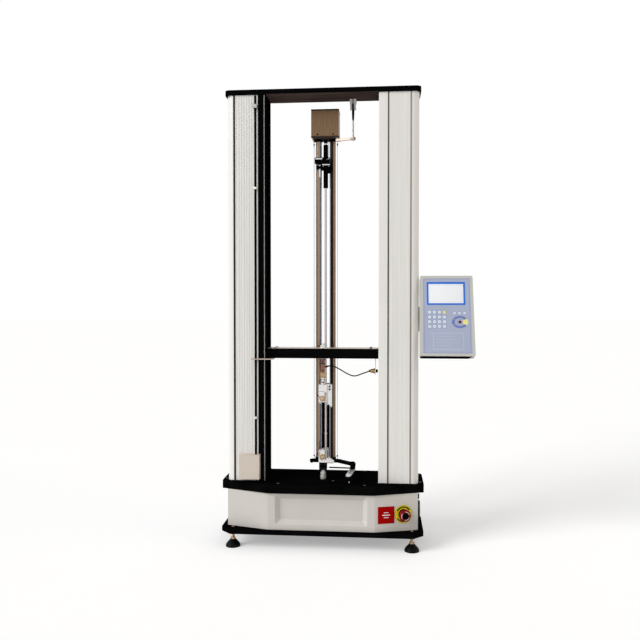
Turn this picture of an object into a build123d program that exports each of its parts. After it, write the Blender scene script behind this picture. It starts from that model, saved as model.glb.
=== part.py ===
from build123d import *
import math
import os

# Universal testing machine with two columns: a driven crosshead, a load cell and two roller grips
# on the load axis, a swing-out extensometer behind them, and a console on the right column.
# Millimetres. The origin is on the floor under the load axis, +Z is up and the front looks to -Y.

# Floor, base and table
FOOT_HEIGHT = 49.0
PAD_RADIUS = 24.0
PAD_HEIGHT = 24.0
PAD_RIM = 4.0
PAD_EDGE = 1.5
PAD_WAIST = 18.0
PAD_WAIST_HIGH = 14.0
PAD_NECK = 9.0
PAD_FLARE = 3.0
PAD_SHOULDER = 4.0
FOOT_INSET = 37.0
FOOT_FRONT_IN = 33.0
FOOT_BACK_IN = 34.0
PLATE_FRONT = 99.0
PLATE_BACK = 126.0
PLATE_CORNER = 33.0
BOTTOM_LEDGE = 17.0
BOTTOM_THICK = 15.0
COVER_INSET = 1.5
COVER_LEDGE = 8.0
COVER_RUN = 138.5
COVER_SETBACK = 40.0
COVER_HEIGHT = 120.0
SHEET = 2.0
TABLE_LEDGE = 17.5
TABLE_RUN = 160.0
TABLE_SETBACK = 55.0
TABLE_THICK = 27.0

# Pressed recess in the base cover's front
RECESS_SIDE = 23.5
RECESS_BEVEL = 14.0
RECESS_DEPTH = 12.0
RECESS_BOTTOM = 18.0
RECESS_TOP = 6.0
RECESS_RADIUS = 6.0

# Columns and top plate
COLUMN_HEIGHT = 1261.0
COLUMN_IN = 183.0
COLUMN_WIDE = 129.5
COLUMN_HALF_DEPTH = 50.0
COLUMN_RADIUS = 25.0
COLUMN_WALL = 6.0
LIP = 4.0
SLOT_SIDE = 9.0
PANEL_IN = 30.5
PANEL_WIDE = 71.5
PANEL_DEEP = 3.0
GROOVE = 2.0
FLUTES = 8
FLUTE_WIDE = 2.6
FLUTE_DEEP = 1.0
TOP_LEDGE = 5.5
TOP_LEDGE_DEEP = 5.0
TOP_THICK = 15.0
TOP_RADIUS = 18.0
STRIP_IN = 6.5
STRIP_WIDE = 19.0
STRIP_THICK = 1.5
STRIP_CLEAR = 1.0

# Drive
POST_IN = 29.0
POST_RADIUS = 15.0
POST_SEAT = 15.0
POST_TOP_SEAT = 8.0
SCREW_IN = 79.0
SCREW_RADIUS = 12.5
JOURNAL_RADIUS = 10.0
SCREW_MARGIN = 14.0
BEARING_RADIUS = 21.0
BEARING_THICK = 15.0
UPPER_BEARING_HIGH = 20.0
PULLEY_RADIUS = 32.0
PULLEY_FLANGE = 3.0
FLANGE_THICK = 2.0
BELT_WIDE = 16.0
BELT_THICK = 3.0
BELT_DROP = 16.0
MOTOR_PULLEY_RADIUS = 16.0
MOTOR_Y = 55.0
MOTOR_HALF = 40.0
MOTOR_HEIGHT = 68.0
MOTOR_CAP = 5.0
MOTOR_SHAFT = 7.0
MOTOR_SHAFT_IN = 34.0
BRACKET_THICK = 8.0
BRACKET_LEG = 5.0

# Crosshead
BEAM_LIFT = 404.0
BEAM_THICK = 32.0
BEAM_SIDE = 3.0
BEAM_INSET = 16.5
NUT_RADIUS = 22.0
NUT_FLANGE = 28.0
NUT_FLANGE_THICK = 10.0
NUT_PROUD = 8.0
BUSH_WALL = 5.0
FINGER_THICK = 3.0
FINGER_WIDE = 14.0
FINGER_OFF = 25.0
FINGER_BACK = 19.0

# Limit rod and its switch box
ROD_IN = 33.5
ROD_OUT = 9.0
ROD_RADIUS = 3.0
ROD_DROP = 6.0
ROD_PLAY = 3.0
FINGER_HOLE = 4.0
COLLAR_RADIUS = 6.0
COLLAR_HIGH = 8.0
COLLAR_LIFT = 207.0
COLLAR_DROP = 308.0
GUIDE_DROP = 46.0
GUIDE_THICK = 12.0
GUIDE_OUT = 8.0
BOX_WIDE = 69.0
BOX_IN = 19.0
BOX_DEEP = 22.0
BOX_LIFT = 10.0
BOX_HEIGHT = 80.0
BOX_WALL = 2.0
BOX_RADIUS = 2.5

# Load cell and grips, hung from the beam's underside
WASHER_RADIUS = 11.0
WASHER_THICK = 4.0
CELL_HALF_X = 6.4
CELL_HALF_Y = 22.0
CELL_HEIGHT = 43.0
CELL_SLOT = 4.0
CELL_SLOT_IN = 14.333
CELL_SLOT_LONG = 33.0
NUT_FLATS = 16.0
BRASS_HEIGHT = 20.0
FITTING_RADIUS = 7.0
FITTING_HEIGHT = 22.0
GRIP_HALF_X = 14.0
GRIP_HALF_Y = 15.0
GRIP_HEIGHT = 58.0
LOWER_GRIP_HEIGHT = 44.0
LOWER_GRIP_LIFT = 57.0
JAW_WIDE = 15.0
JAW_DROP = 16.0
THROAT_IN = 6.0
THROAT_WIDE = 6.0
THROAT_DEEP = 34.0
ROLLER_RADIUS = 9.5
ROLLER_FLAT = 8.2
ROLLER_X = -2.0
ROLLER_INSET = 12.0
ROLLER_PIN = 3.0
GRIP_BACK_WALL = 4.0
LEVER_LENGTH = 19.0
LEVER_RADIUS = 1.5
ADAPTOR_RADIUS = 9.0
ADAPTOR_NECK = 6.0
ADAPTOR_HEIGHT = 22.0
ADAPTOR_RING = 8.8
ADAPTOR_GROOVE = 2.0
ADAPTOR_STEM = 10.0
ADAPTOR_SPIGOT = 8.0
SPIGOT_DEEP = 20.0
GRIP_BLOCK_HALF = 12.5
STEM_IN = 12.5

# Extensometer, hinged on a vertical axis at the right of the load axis
HINGE_X = 97.0
HINGE_Y = 36.0
HINGE_RADIUS = 3.0
EXT_X = 2.0
EXT_CLEAR = 8.0
EXT_WIDE = 93.0
EXT_DEEP = 74.0
EXT_HEIGHT = 86.0
EXT_SHEET = 1.5
EXT_DROP = 118.0
EXT_BASE_THICK = 6.0
TUBE_SPREAD = 23.5
TUBE_RADIUS = 10.5
TUBE_WALL = 1.5
TUBE_INSET = 37.0
TUBE_COLLAR = 11.5
TUBE_COLLAR_HIGH = 10.0
CENTRE_RADIUS = 4.0
STOP_RADIUS = 6.0
STOP_LIFT = 96.0
STOP_HIGH = 6.0
WIRE_SPREAD = 40.0
WIRE_RADIUS = 1.0
WIRE_BALL = 2.4
WIRE_BALL_DROP = 24.0
WIRE_BALL_RISE = 13.0
ARM_DROP = 7.0
ARM_THICK = 7.0
ARM_RADIUS = 6.0
ARM_END_IN = 12.0
HUB_RADIUS = 9.0
BAR_LIFT = 38.0
BAR_THICK = 8.0
BAR_RADIUS = 10.0
BAR_END_RADIUS = 12.0
BAR_END = 43.0
BACKING_HALF = 11.0
BACKING_THICK = 3.0
BACKING_HIGH = 191.0
CLAMP_RADIUS = 11.0
CLAMP_HIGH = 20.0
CLAMP_WAIST = 8.0
CLAMP_SLIT = 1.5
PIVOT_COLLAR = 6.0
PIVOT_COLLAR_HIGH = 3.0
HANGER_HALF = 11.0
HANGER_THICK = 14.0
FOOT_BLOCK_X = 87.0
FOOT_BLOCK_Y = -54.0
FOOT_BLOCK_HALF = 13.0
FOOT_BLOCK_HIGH = 23.0
ARM_PLATE = 4.0
HEAD_RADIUS = 9.0
PIN_CAP = 7.0
PIN_CAP_HIGH = 3.7

# Carriages on the centre rod
CARRIAGE_SLEEVE = 8.0
UPPER_SLEEVE_DROP = 20.0
UPPER_BLOCK_DROP = 66.0
UPPER_BLOCK_HIGH = 20.0
UPPER_BLOCK_LEFT = 36.0
UPPER_BLOCK_RIGHT = 14.0
LOWER_BLOCK_DROP = 23.0
LOWER_BLOCK_HIGH = 21.0
LOWER_BLOCK_LEFT = 12.0
LOWER_BLOCK_RIGHT = 24.0
LOWER_SLEEVE_DROP = 57.0
BLOCK_DEEP = 11.0
BLOCK_CLEAR = 1.0
CLIP_REACH = 10.5
CLIP_OUT = 12.0
CLIP_IN = 6.0
CLIP_RADIUS = 2.5
KNOB_RADIUS = 5.0
KNOB_LONG = 12.0

# Console on the right column
PIVOT_OUT = 27.5
CONSOLE_TILT_Y = -22.0
CONSOLE_LIFT = 532.0
CONSOLE_CLEAR = 0.5
CONSOLE_TAPER = 3.0
CONSOLE_HALF_LOW = 86.0
CONSOLE_HALF_HIGH = 131.0
CONSOLE_DEEP = 40.0
CONSOLE_OFFSET = 13.0
CONSOLE_WALL = 2.5
CONSOLE_TILT = 15.0
CONSOLE_RADIUS = 5.0
OVERLAY_THICK = 0.8
OVERLAY_BORDER = 9.0
LUG_THICK = 10.0
LUG_SPREAD = 25.0
LUG_RADIUS = 12.0
CONSOLE_PIN = 4.0
TILT_PIN = 4.0
TILT_LUG = 8.0
TILT_SPREAD = 18.0
TILT_BARREL = 8.0
MIN_RADIUS = 1.0

# Emergency stop and red plate on the base cover's right-hand panel
MARK_GAP = 0.8
MARK_HALF = 27.2
MARK_THICK = 1.2
STOP_ALONG = 94.8
STOP_CENTRE_LIFT = 54.0
LEGEND_RADIUS = 29.3
LEGEND_THICK = 1.6
STOP_HOLE = 11.0
STOP_NECK = 14.0
STOP_NECK_OUT = 6.0
STOP_BODY_HALF = 15.0
STOP_BODY_DEEP = 38.0
STOP_STEM = 6.0
STOP_STEM_IN = 12.0
MUSHROOM_RADIUS = 20.0
MUSHROOM_GAP = 7.0
MUSHROOM_THICK = 12.0
MUSHROOM_EDGE = 3.0
MUSHROOM_BULGE = 4.8
MUSHROOM_SHOULDER = 9.6
MUSHROOM_CROWN = 12.0

# Sockets
SOCKET_RADIUS = 9.0
SOCKET_NECK = 7.0
SOCKET_BORE = 5.0
SOCKET_IN = 9.0
SOCKET_PROUD = 5.0
SOCKET_Y = -20.0
SOCKET_HEIGHTS = (19.0, 49.0)
INLET_IN = 47.0
INLET_LIFT = 58.0
INLET_HALF_X = 24.0
INLET_HALF_Z = 15.0
INLET_FLANGE = 2.0
INLET_DEEP = 24.0
INLET_WELL = 15.0
INLET_WALL = 4.0

# Fasteners
BOLT_RADIUS = 4.0
BOLT_HEAD = 6.5
BOLT_HEAD_HIGH = 8.0
BOLT_LENGTH = 30.0
BOLT_SOCKET = 6.5
BOLT_SOCKET_DEEP = 4.0

# Feet
STEM_RADIUS = 5.0
STEM_BALL = 6.0
SHOULDER_RADIUS = 8.0
SHOULDER_HIGH = 4.0
FOOT_NUT_FLATS = 17.0
FOOT_NUT_HIGH = 8.0

# Rear cover
VENT_COUNT = 9
VENT_WIDE = 4.0
VENT_HALF = 28.0
VENT_PITCH = 12.0
VENT_X = 60.0

# Bellows in the column slots
BELLOWS_PITCH = 14.0
BELLOWS_SKIN = 1.0
BELLOWS_DEEP = 7.0
BELLOWS_IN = 4.5
BELLOWS_SIDE = 1.0

# Switch flag and switches
FLAG_RADIUS = 7.0
FLAG_THICK = 3.0
SWITCH_LONG = 22.0
SWITCH_HIGH = 16.0
SWITCH_DEEP = 10.0

# Load cell cable
GLAND_RADIUS = 3.5
GLAND_LONG = 5.0
CABLE_RADIUS = 2.0
CABLE_DROP = 26.0
CONNECTOR_DROP = 43.0
CONNECTOR_LONG = 24.0
CONNECTOR_OFF = 2.0
CONNECTOR_RADIUS = 6.0
CONNECTOR_NUT = 8.0
CONNECTOR_NUT_LONG = 5.0
CONNECTOR_TAIL = 5.0
CONNECTOR_FACE = 9.0
CONNECTOR_PLATE = 2.5
CONNECTOR_PLATE_HALF = 12.0

# Grip details
LOWER_ROLLER_DROP = 25.0
TOE_OUT = 36.0
TOE_RISE = 15.0
LOWER_JAW = 5.0
PEAK_RISE = 4.0
PEAK_HALF = 4.0
LEVER_TURN = 35.0

# Console bracket
BRACKET_HALF_HIGH = 40.0
BRACKET_PLATE = 6.0
BRACKET_BACK = 30.0

# Power inlet pins
INLET_PIN = 1.0
INLET_PIN_HALF = 2.0
INLET_PIN_DOWN = 2.0
INLET_PIN_PITCH = 9.0

# Column lips
LIP_RADIUS = 2.0

# Clearances
FIT = 0.05
GAP = 0.3

# Heights that follow from the sizes above
Z_BASE = FOOT_HEIGHT + BOTTOM_THICK
Z_TABLE = Z_BASE + COVER_HEIGHT
Z_DECK = Z_TABLE + TABLE_THICK
Z_TOP = Z_DECK + COLUMN_HEIGHT
BEAM_BOTTOM = Z_DECK + BEAM_LIFT
BEAM_TOP = BEAM_BOTTOM + BEAM_THICK
BELT_TOP = Z_TABLE - BELT_DROP
CELL_TOP = BEAM_BOTTOM - WASHER_THICK
CELL_BOTTOM = CELL_TOP - CELL_HEIGHT
BRASS_BOTTOM = CELL_BOTTOM - BRASS_HEIGHT
GRIP_TOP = BRASS_BOTTOM - FITTING_HEIGHT
GRIP_BOTTOM = GRIP_TOP - GRIP_HEIGHT
LOWER_GRIP_Z = Z_DECK + LOWER_GRIP_LIFT
LOWER_GRIP_TOP = LOWER_GRIP_Z + LOWER_GRIP_HEIGHT
CONNECTOR_Z = BEAM_BOTTOM - CONNECTOR_DROP
BOX_BOTTOM = Z_DECK + BOX_LIFT
BOX_TOP = BOX_BOTTOM + BOX_HEIGHT
COLLAR_LOW_Z = Z_DECK + COLLAR_LIFT
COLLAR_TOP_Z = Z_TOP - COLLAR_DROP
GUIDE_Z = Z_TOP - GUIDE_DROP
ROD_TOP = Z_TOP - ROD_DROP
EXT_BASE_Z = Z_TOP - EXT_DROP
EXT_TOP = EXT_BASE_Z + EXT_BASE_THICK + EXT_HEIGHT
UPPER_SLEEVE_TOP = EXT_BASE_Z - UPPER_SLEEVE_DROP
UPPER_BLOCK_Z = UPPER_SLEEVE_TOP - UPPER_BLOCK_DROP
LOWER_BLOCK_Z = UPPER_BLOCK_Z - LOWER_BLOCK_DROP
LOWER_SLEEVE_Z = LOWER_BLOCK_Z - LOWER_SLEEVE_DROP
BAR_Z = Z_DECK + BAR_LIFT
BAR_TOP = BAR_Z + BAR_THICK
STOP_Z = BAR_Z + STOP_LIFT
WIRE_BALLS = (BAR_TOP + WIRE_BALL_RISE, EXT_BASE_Z - WIRE_BALL_DROP)
CONSOLE_Z = Z_DECK + CONSOLE_LIFT
STOP_CENTRE_Z = Z_BASE + STOP_CENTRE_LIFT
INLET_Z = Z_BASE + INLET_LIFT

# Widths and depths that follow from the columns and the plates
COLUMN_OUT = COLUMN_IN + COLUMN_WIDE
COVER_HALF = COLUMN_OUT - COVER_INSET
COVER_STRAIGHT = COVER_HALF - COVER_RUN
COVER_FRONT = PLATE_FRONT - COVER_LEDGE
COVER_BACK = PLATE_BACK - COVER_LEDGE
BOTTOM_HALF = COVER_HALF + BOTTOM_LEDGE
FOOT_X = BOTTOM_HALF - FOOT_INSET
FOOT_FRONT = PLATE_FRONT - FOOT_FRONT_IN
FOOT_BACK = PLATE_BACK - FOOT_BACK_IN
TABLE_HALF = COLUMN_OUT + TABLE_LEDGE
TABLE_STRAIGHT = TABLE_HALF - TABLE_RUN
RECESS_HALF = COVER_STRAIGHT - RECESS_SIDE
TOP_HALF = COLUMN_OUT + TOP_LEDGE
TOP_HALF_DEPTH = COLUMN_HALF_DEPTH + TOP_LEDGE_DEEP
SLOT_HALF = COLUMN_HALF_DEPTH - SLOT_SIDE
STRIP_X = COLUMN_IN + STRIP_IN
POST_X = COLUMN_IN + POST_IN
SCREW_X = COLUMN_IN + SCREW_IN
BEAM_HALF = COLUMN_OUT - BEAM_INSET
BEAM_HALF_DEPTH = SLOT_HALF - BEAM_SIDE
FINGER_IN = COLUMN_IN - FINGER_OFF
ROD_X = -COLUMN_IN - ROD_IN
ROD_Y = -COLUMN_HALF_DEPTH - ROD_OUT
BOX_RIGHT = -COLUMN_IN - BOX_IN
BOX_LEFT = BOX_RIGHT - BOX_WIDE
CONNECTOR_OUT = COLUMN_IN - CONNECTOR_OFF
CONNECTOR_IN = CONNECTOR_OUT - CONNECTOR_LONG
CONNECTOR_PLATE_X = CONNECTOR_OUT - CONNECTOR_FACE
EXT_FRONT = BEAM_HALF_DEPTH + EXT_CLEAR
TUBE_Y = EXT_FRONT + TUBE_INSET
CONSOLE_PIVOT_X = COLUMN_OUT + PIVOT_OUT
CONSOLE_X = COLUMN_OUT + CONSOLE_CLEAR + CONSOLE_HALF_LOW
CONSOLE_HALF_TOP = CONSOLE_HALF_LOW - CONSOLE_TAPER
MARK_ALONG = STOP_ALONG - LEGEND_RADIUS - MARK_GAP - MARK_HALF
INLET_X = -COLUMN_IN - INLET_IN
PANEL_TURN = math.degrees(math.atan2(COVER_SETBACK, COVER_RUN))
SIDES = (-1, 1)


# Helpers
def block(x0, x1, y0, y1, z0, z1):
    """Box between two corners."""
    return Pos((x0 + x1) / 2, (y0 + y1) / 2, (z0 + z1) / 2) * Box(abs(x1 - x0), y1 - y0, z1 - z0)


def post(x, y, z0, z1, radius):
    """Upright cylinder."""
    return Pos(x, y, (z0 + z1) / 2) * Cylinder(radius, z1 - z0)


def rod_x(x0, x1, y, z, radius):
    """Cylinder along X."""
    return Pos((x0 + x1) / 2, y, z) * Rot(0, 90, 0) * Cylinder(radius, abs(x1 - x0))


def rod_y(x, y0, y1, z, radius):
    """Cylinder along Y."""
    return Pos(x, (y0 + y1) / 2, z) * Rot(90, 0, 0) * Cylinder(radius, y1 - y0)


def prism(points, z0, z1):
    """Upright prism over an outline in plan."""
    return Pos(0, 0, z0) * extrude(make_face(Polyline(*points, close=True)), z1 - z0, dir=(0, 0, 1))


def capsule(x0, y0, x1, y1, radius, z0, z1):
    """Flat bar with round ends between two points in plan."""
    turn = math.degrees(math.atan2(y1 - y0, x1 - x0))
    outline = SlotCenterToCenter(math.hypot(x1 - x0, y1 - y0), 2 * radius, rotation=turn)
    return Pos((x0 + x1) / 2, (y0 + y1) / 2, z0) * extrude(outline, z1 - z0, dir=(0, 0, 1))


def hexagon(x, y, z0, z1, flats):
    """Upright hexagonal prism, given its size across the flats."""
    outline = RegularPolygon(flats / 2, 6, major_radius=False)
    return Pos(x, y, z0) * extrude(outline, z1 - z0, dir=(0, 0, 1))


def turned(points):
    """Solid of revolution about Z from an outline of (radius, height) points."""
    outline = make_face(Polyline(*[(r, 0, z) for r, z in points], close=True))
    return revolve(outline, Axis.Z)


def save(name, *shapes):
    """Write one sub-part: all solids of the given shapes in one file."""
    solids = [solid for shape in shapes for solid in shape.solids()]
    body = solids[0] if len(solids) == 1 else Compound(children=solids)
    export_step(body, os.path.join("parts", name + ".step"))


# Base
def plate_outline(half, straight, front_back, corner):
    """Plan outline of the table or bottom plate, with cut corners."""
    front = -PLATE_FRONT
    return [(-straight, front), (straight, front), (half, front + front_back), (half, PLATE_BACK - corner),
            (half - corner, PLATE_BACK), (-half + corner, PLATE_BACK), (-half, PLATE_BACK - corner),
            (-half, front + front_back)]


def make_bottom_plate():
    outline = plate_outline(BOTTOM_HALF, BOTTOM_HALF - PLATE_CORNER, PLATE_CORNER, PLATE_CORNER)
    plate = prism(outline, FOOT_HEIGHT, Z_BASE)
    for x, y in foot_places():
        plate -= post(x, y, FOOT_HEIGHT, Z_BASE, STEM_RADIUS + FIT)
    return plate


def foot_places():
    """Centres of the four feet in plan."""
    return [(side * FOOT_X, y) for side in SIDES for y in (-FOOT_FRONT, FOOT_BACK)]


def make_foot_pad(x, y):
    """Domed rubber pad with a socket for the stem."""
    dome = turned([(0, 0), (PAD_RADIUS, 0), (PAD_RADIUS, PAD_RIM), (PAD_RADIUS - PAD_EDGE, 2 * PAD_RIM),
                   (PAD_WAIST, PAD_WAIST_HIGH), (PAD_NECK + PAD_FLARE, PAD_HEIGHT - PAD_SHOULDER),
                   (PAD_NECK, PAD_HEIGHT), (0, PAD_HEIGHT)])
    return Pos(x, y, 0) * (dome - post(0, 0, STEM_BALL, PAD_HEIGHT, STEM_RADIUS + FIT))


def make_foot_stem(x, y):
    """Threaded stem with a shoulder above the pad, up through the bottom plate."""
    stem = post(x, y, STEM_BALL + GAP, Z_BASE, STEM_RADIUS)
    return stem + post(x, y, PAD_HEIGHT + GAP, PAD_HEIGHT + GAP + SHOULDER_HIGH, SHOULDER_RADIUS)


def make_foot_nut(x, y):
    nut = hexagon(x, y, FOOT_HEIGHT - FOOT_NUT_HIGH, FOOT_HEIGHT, FOOT_NUT_FLATS)
    return nut - post(x, y, FOOT_HEIGHT - FOOT_NUT_HIGH, FOOT_HEIGHT, STEM_RADIUS + FIT)


def cover_outline(inset):
    """Plan outline of the base cover, moved in by a wall."""
    slant = math.tan(math.radians(PANEL_TURN / 2)) * inset
    half = COVER_HALF - inset
    front = -COVER_FRONT + inset
    corner = -COVER_FRONT + COVER_SETBACK + inset * math.tan(math.radians((90 - PANEL_TURN) / 2))
    straight = COVER_STRAIGHT - slant
    return [(-straight, front), (straight, front), (half, corner), (half, COVER_BACK),
            (-half, COVER_BACK), (-half, corner)]


def recess_tray(grow, lengthen):
    """Tapered block of the pressed recess, grown by a wall and lengthened to the back."""
    z0 = Z_BASE + RECESS_BOTTOM
    z1 = Z_TABLE - RECESS_TOP
    high = z1 - z0
    middle = (z0 + z1) / 2
    wide = 2 * RECESS_HALF
    outer = Plane(origin=(0, -COVER_FRONT, middle), x_dir=(1, 0, 0), z_dir=(0, -1, 0))
    inner = outer.offset(-RECESS_DEPTH - lengthen)
    mouth = outer * RectangleRounded(wide + 2 * grow, high + 2 * grow, RECESS_RADIUS + grow)
    shrink = 2 * RECESS_BEVEL - 2 * grow
    floor = inner * RectangleRounded(wide - shrink, high - shrink, RECESS_RADIUS + grow)
    return loft([mouth.face(), floor.face()])


def on_panel(along, z):
    """Frame on the right-hand slanted panel: local X along it, local -Y out of it."""
    turn = math.radians(PANEL_TURN)
    x = COVER_STRAIGHT + along * math.cos(turn)
    y = -COVER_FRONT + along * math.sin(turn)
    return Location((x, y, z), (0, 0, PANEL_TURN))


def make_base_cover():
    """Front and sides of the base in one folded sheet, with the pressed recess."""
    shell = prism(cover_outline(0), Z_BASE, Z_TABLE)
    shell -= prism(cover_outline(SHEET)[:3] + [(COVER_HALF - SHEET, COVER_BACK + SHEET),
                                               (-COVER_HALF + SHEET, COVER_BACK + SHEET)]
                   + cover_outline(SHEET)[5:], Z_BASE, Z_TABLE)
    shell += recess_tray(SHEET, SHEET)
    shell -= recess_tray(0, 0)
    hole = on_panel(STOP_ALONG, STOP_CENTRE_Z) * rod_y(0, -SHEET, 2 * SHEET, 0, STOP_HOLE + FIT)
    shell -= hole
    for drop in SOCKET_HEIGHTS:
        shell -= rod_x(COVER_HALF - 2 * SHEET, COVER_HALF, SOCKET_Y, Z_TABLE - drop, SOCKET_NECK)
    return shell


def make_base_rear_cover():
    """Flat rear sheet between the two sides, with vents and the power inlet's cut-out."""
    sheet = block(-COVER_HALF + SHEET + GAP, COVER_HALF - SHEET - GAP, COVER_BACK - SHEET, COVER_BACK,
                  Z_BASE, Z_TABLE)
    middle = (Z_BASE + Z_TABLE) / 2
    for k in range(VENT_COUNT):
        x = VENT_X + k * VENT_PITCH
        sheet -= block(x, x + VENT_WIDE, COVER_BACK - SHEET, COVER_BACK,
                       middle - VENT_HALF, middle + VENT_HALF)
    half_x = INLET_HALF_X - INLET_FLANGE
    half_z = INLET_HALF_Z - INLET_FLANGE
    return sheet - block(INLET_X - half_x, INLET_X + half_x, COVER_BACK - SHEET, COVER_BACK,
                         INLET_Z - half_z, INLET_Z + half_z)


def make_table_plate():
    outline = plate_outline(TABLE_HALF, TABLE_STRAIGHT, TABLE_SETBACK, PLATE_CORNER)
    plate = prism(outline, Z_TABLE, Z_DECK)
    for side in SIDES:
        plate -= post(side * POST_X, 0, Z_DECK - POST_SEAT, Z_DECK, POST_RADIUS + FIT)
        plate -= post(side * SCREW_X, 0, Z_TABLE, Z_DECK, BEARING_RADIUS)
    plate -= post(0, 0, Z_DECK - SPIGOT_DEEP, Z_DECK, ADAPTOR_SPIGOT + FIT)
    return plate


# Columns
def column_profile(x0, x1, half, radius_in, radius_out):
    """Plan of one column with unlike corner radii inside and outside, for the right-hand side."""
    outline = make_face(Polyline((x0, -half), (x1, -half), (x1, half), (x0, half), close=True))
    if radius_in > 0:
        outline = fillet(outline.vertices().group_by(Axis.X)[0], radius_in)
    return fillet(outline.vertices().group_by(Axis.X)[-1], radius_out)


def make_column_cover():
    """Right-hand column cover: an open channel with seats for the fluted panels."""
    outer = column_profile(COLUMN_IN, COLUMN_OUT, COLUMN_HALF_DEPTH, LIP_RADIUS, COLUMN_RADIUS)
    inner = column_profile(COLUMN_IN + LIP, COLUMN_OUT - COLUMN_WALL, COLUMN_HALF_DEPTH - COLUMN_WALL, 0,
                           COLUMN_RADIUS - COLUMN_WALL)
    shell = extrude(outer, COLUMN_HEIGHT, dir=(0, 0, 1)) - extrude(inner, COLUMN_HEIGHT, dir=(0, 0, 1))
    shell = Pos(0, 0, Z_DECK) * shell
    shell -= block(COLUMN_IN, COLUMN_IN + LIP, -SLOT_HALF, SLOT_HALF, Z_DECK, Z_TOP)
    x0 = COLUMN_IN + PANEL_IN
    for side in SIDES:
        face = side * COLUMN_HALF_DEPTH
        seat = sorted((face, face - side * PANEL_DEEP))
        shell -= block(x0, x0 + PANEL_WIDE, seat[0], seat[1], Z_DECK, Z_TOP)
    return shell


def make_column_panel():
    """Fluted cover strip in the front seat of the right-hand column."""
    x0 = COLUMN_IN + PANEL_IN + GROOVE
    x1 = COLUMN_IN + PANEL_IN + PANEL_WIDE - GROOVE
    face = -COLUMN_HALF_DEPTH
    panel = block(x0, x1, face, face + PANEL_DEEP, Z_DECK, Z_TOP)
    pitch = (x1 - x0) / FLUTES
    for k in range(FLUTES):
        middle = x0 + (k + 0.5) * pitch
        panel -= block(middle - FLUTE_WIDE / 2, middle + FLUTE_WIDE / 2, face, face + FLUTE_DEEP,
                       Z_DECK, Z_TOP)
    return panel


def make_strip():
    """Dark strip on the left column's front."""
    return block(-STRIP_X - STRIP_WIDE, -STRIP_X, -COLUMN_HALF_DEPTH - STRIP_THICK, -COLUMN_HALF_DEPTH,
                 Z_DECK, Z_TOP)


def make_top_plate():
    outline = RectangleRounded(2 * TOP_HALF, 2 * TOP_HALF_DEPTH, TOP_RADIUS)
    plate = Pos(0, 0, Z_TOP) * extrude(outline, TOP_THICK, dir=(0, 0, 1))
    for side in SIDES:
        plate -= post(side * POST_X, 0, Z_TOP, Z_TOP + POST_TOP_SEAT, POST_RADIUS + FIT)
        plate -= post(side * POST_X, 0, Z_TOP, Z_TOP + TOP_THICK, BOLT_RADIUS + FIT)
    return plate


def make_guide_post(side):
    """Hardened post, seated in the table and under the top plate, tapped for its bolt."""
    x = side * POST_X
    end = Z_TOP + POST_TOP_SEAT
    shaft = post(x, 0, Z_DECK - POST_SEAT, end, POST_RADIUS)
    return shaft - post(x, 0, Z_TOP + TOP_THICK - BOLT_LENGTH, end, BOLT_RADIUS + FIT)


def make_top_bolt(side):
    """Socket screw through the top plate into a post."""
    x = side * POST_X
    seat = Z_TOP + TOP_THICK
    top = seat + BOLT_HEAD_HIGH
    bolt = post(x, 0, seat, top, BOLT_HEAD) + post(x, 0, seat - BOLT_LENGTH, seat, BOLT_RADIUS)
    return bolt - hexagon(x, 0, top - BOLT_SOCKET_DEEP, top, BOLT_SOCKET)


# Drive
def make_screw(side):
    """Ball screw with journals at both ends and its belt pulley."""
    x = side * SCREW_X
    foot = BELT_TOP - BELT_WIDE - FLANGE_THICK
    shaft = post(x, 0, foot, Z_TOP - 2 * GAP, JOURNAL_RADIUS)
    return shaft + post(x, 0, Z_DECK + SCREW_MARGIN, Z_TOP - UPPER_BEARING_HIGH - GAP, SCREW_RADIUS)


def make_pulley(x, y, radius, bore):
    """Belt pulley with two flanges."""
    z0 = BELT_TOP - BELT_WIDE
    wheel = post(x, y, z0, BELT_TOP, radius)
    wheel += post(x, y, z0 - FLANGE_THICK, z0, radius + PULLEY_FLANGE)
    wheel += post(x, y, BELT_TOP, BELT_TOP + FLANGE_THICK, radius + PULLEY_FLANGE)
    return wheel - post(x, y, z0 - FLANGE_THICK, BELT_TOP + FLANGE_THICK, bore)


def make_lower_bearing(side):
    x = side * SCREW_X
    z0 = (Z_TABLE + Z_DECK - BEARING_THICK) / 2
    ring = post(x, 0, z0, z0 + BEARING_THICK, BEARING_RADIUS)
    return ring - post(x, 0, z0, z0 + BEARING_THICK, JOURNAL_RADIUS + FIT)


def make_upper_bearing(side):
    x = side * SCREW_X
    half = BEARING_RADIUS
    housing = block(x - half, x + half, -COLUMN_HALF_DEPTH + COLUMN_WALL + GAP,
                    COLUMN_HALF_DEPTH - COLUMN_WALL - GAP, Z_TOP - UPPER_BEARING_HIGH, Z_TOP)
    return housing - post(x, 0, Z_TOP - UPPER_BEARING_HIGH, Z_TOP, JOURNAL_RADIUS + FIT)


def belt_loop(grow):
    """Outline round the three pulleys at a distance from their rims."""
    rounds = Pos(-SCREW_X, 0) * Circle(PULLEY_RADIUS + grow)
    rounds += Pos(SCREW_X, 0) * Circle(PULLEY_RADIUS + grow)
    rounds += Pos(0, MOTOR_Y) * Circle(MOTOR_PULLEY_RADIUS + grow)
    return make_hull(rounds.edges())


def make_timing_belt():
    outer = extrude(belt_loop(GAP + BELT_THICK), BELT_WIDE - 2 * GAP, dir=(0, 0, 1))
    inner = extrude(belt_loop(GAP), BELT_WIDE - 2 * GAP, dir=(0, 0, 1))
    return Pos(0, 0, BELT_TOP - BELT_WIDE + GAP) * (outer - inner)


def motor_deck():
    """Height of the motor's mounting face."""
    return BELT_TOP - BELT_WIDE - 2 * FLANGE_THICK - BRACKET_THICK


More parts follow.
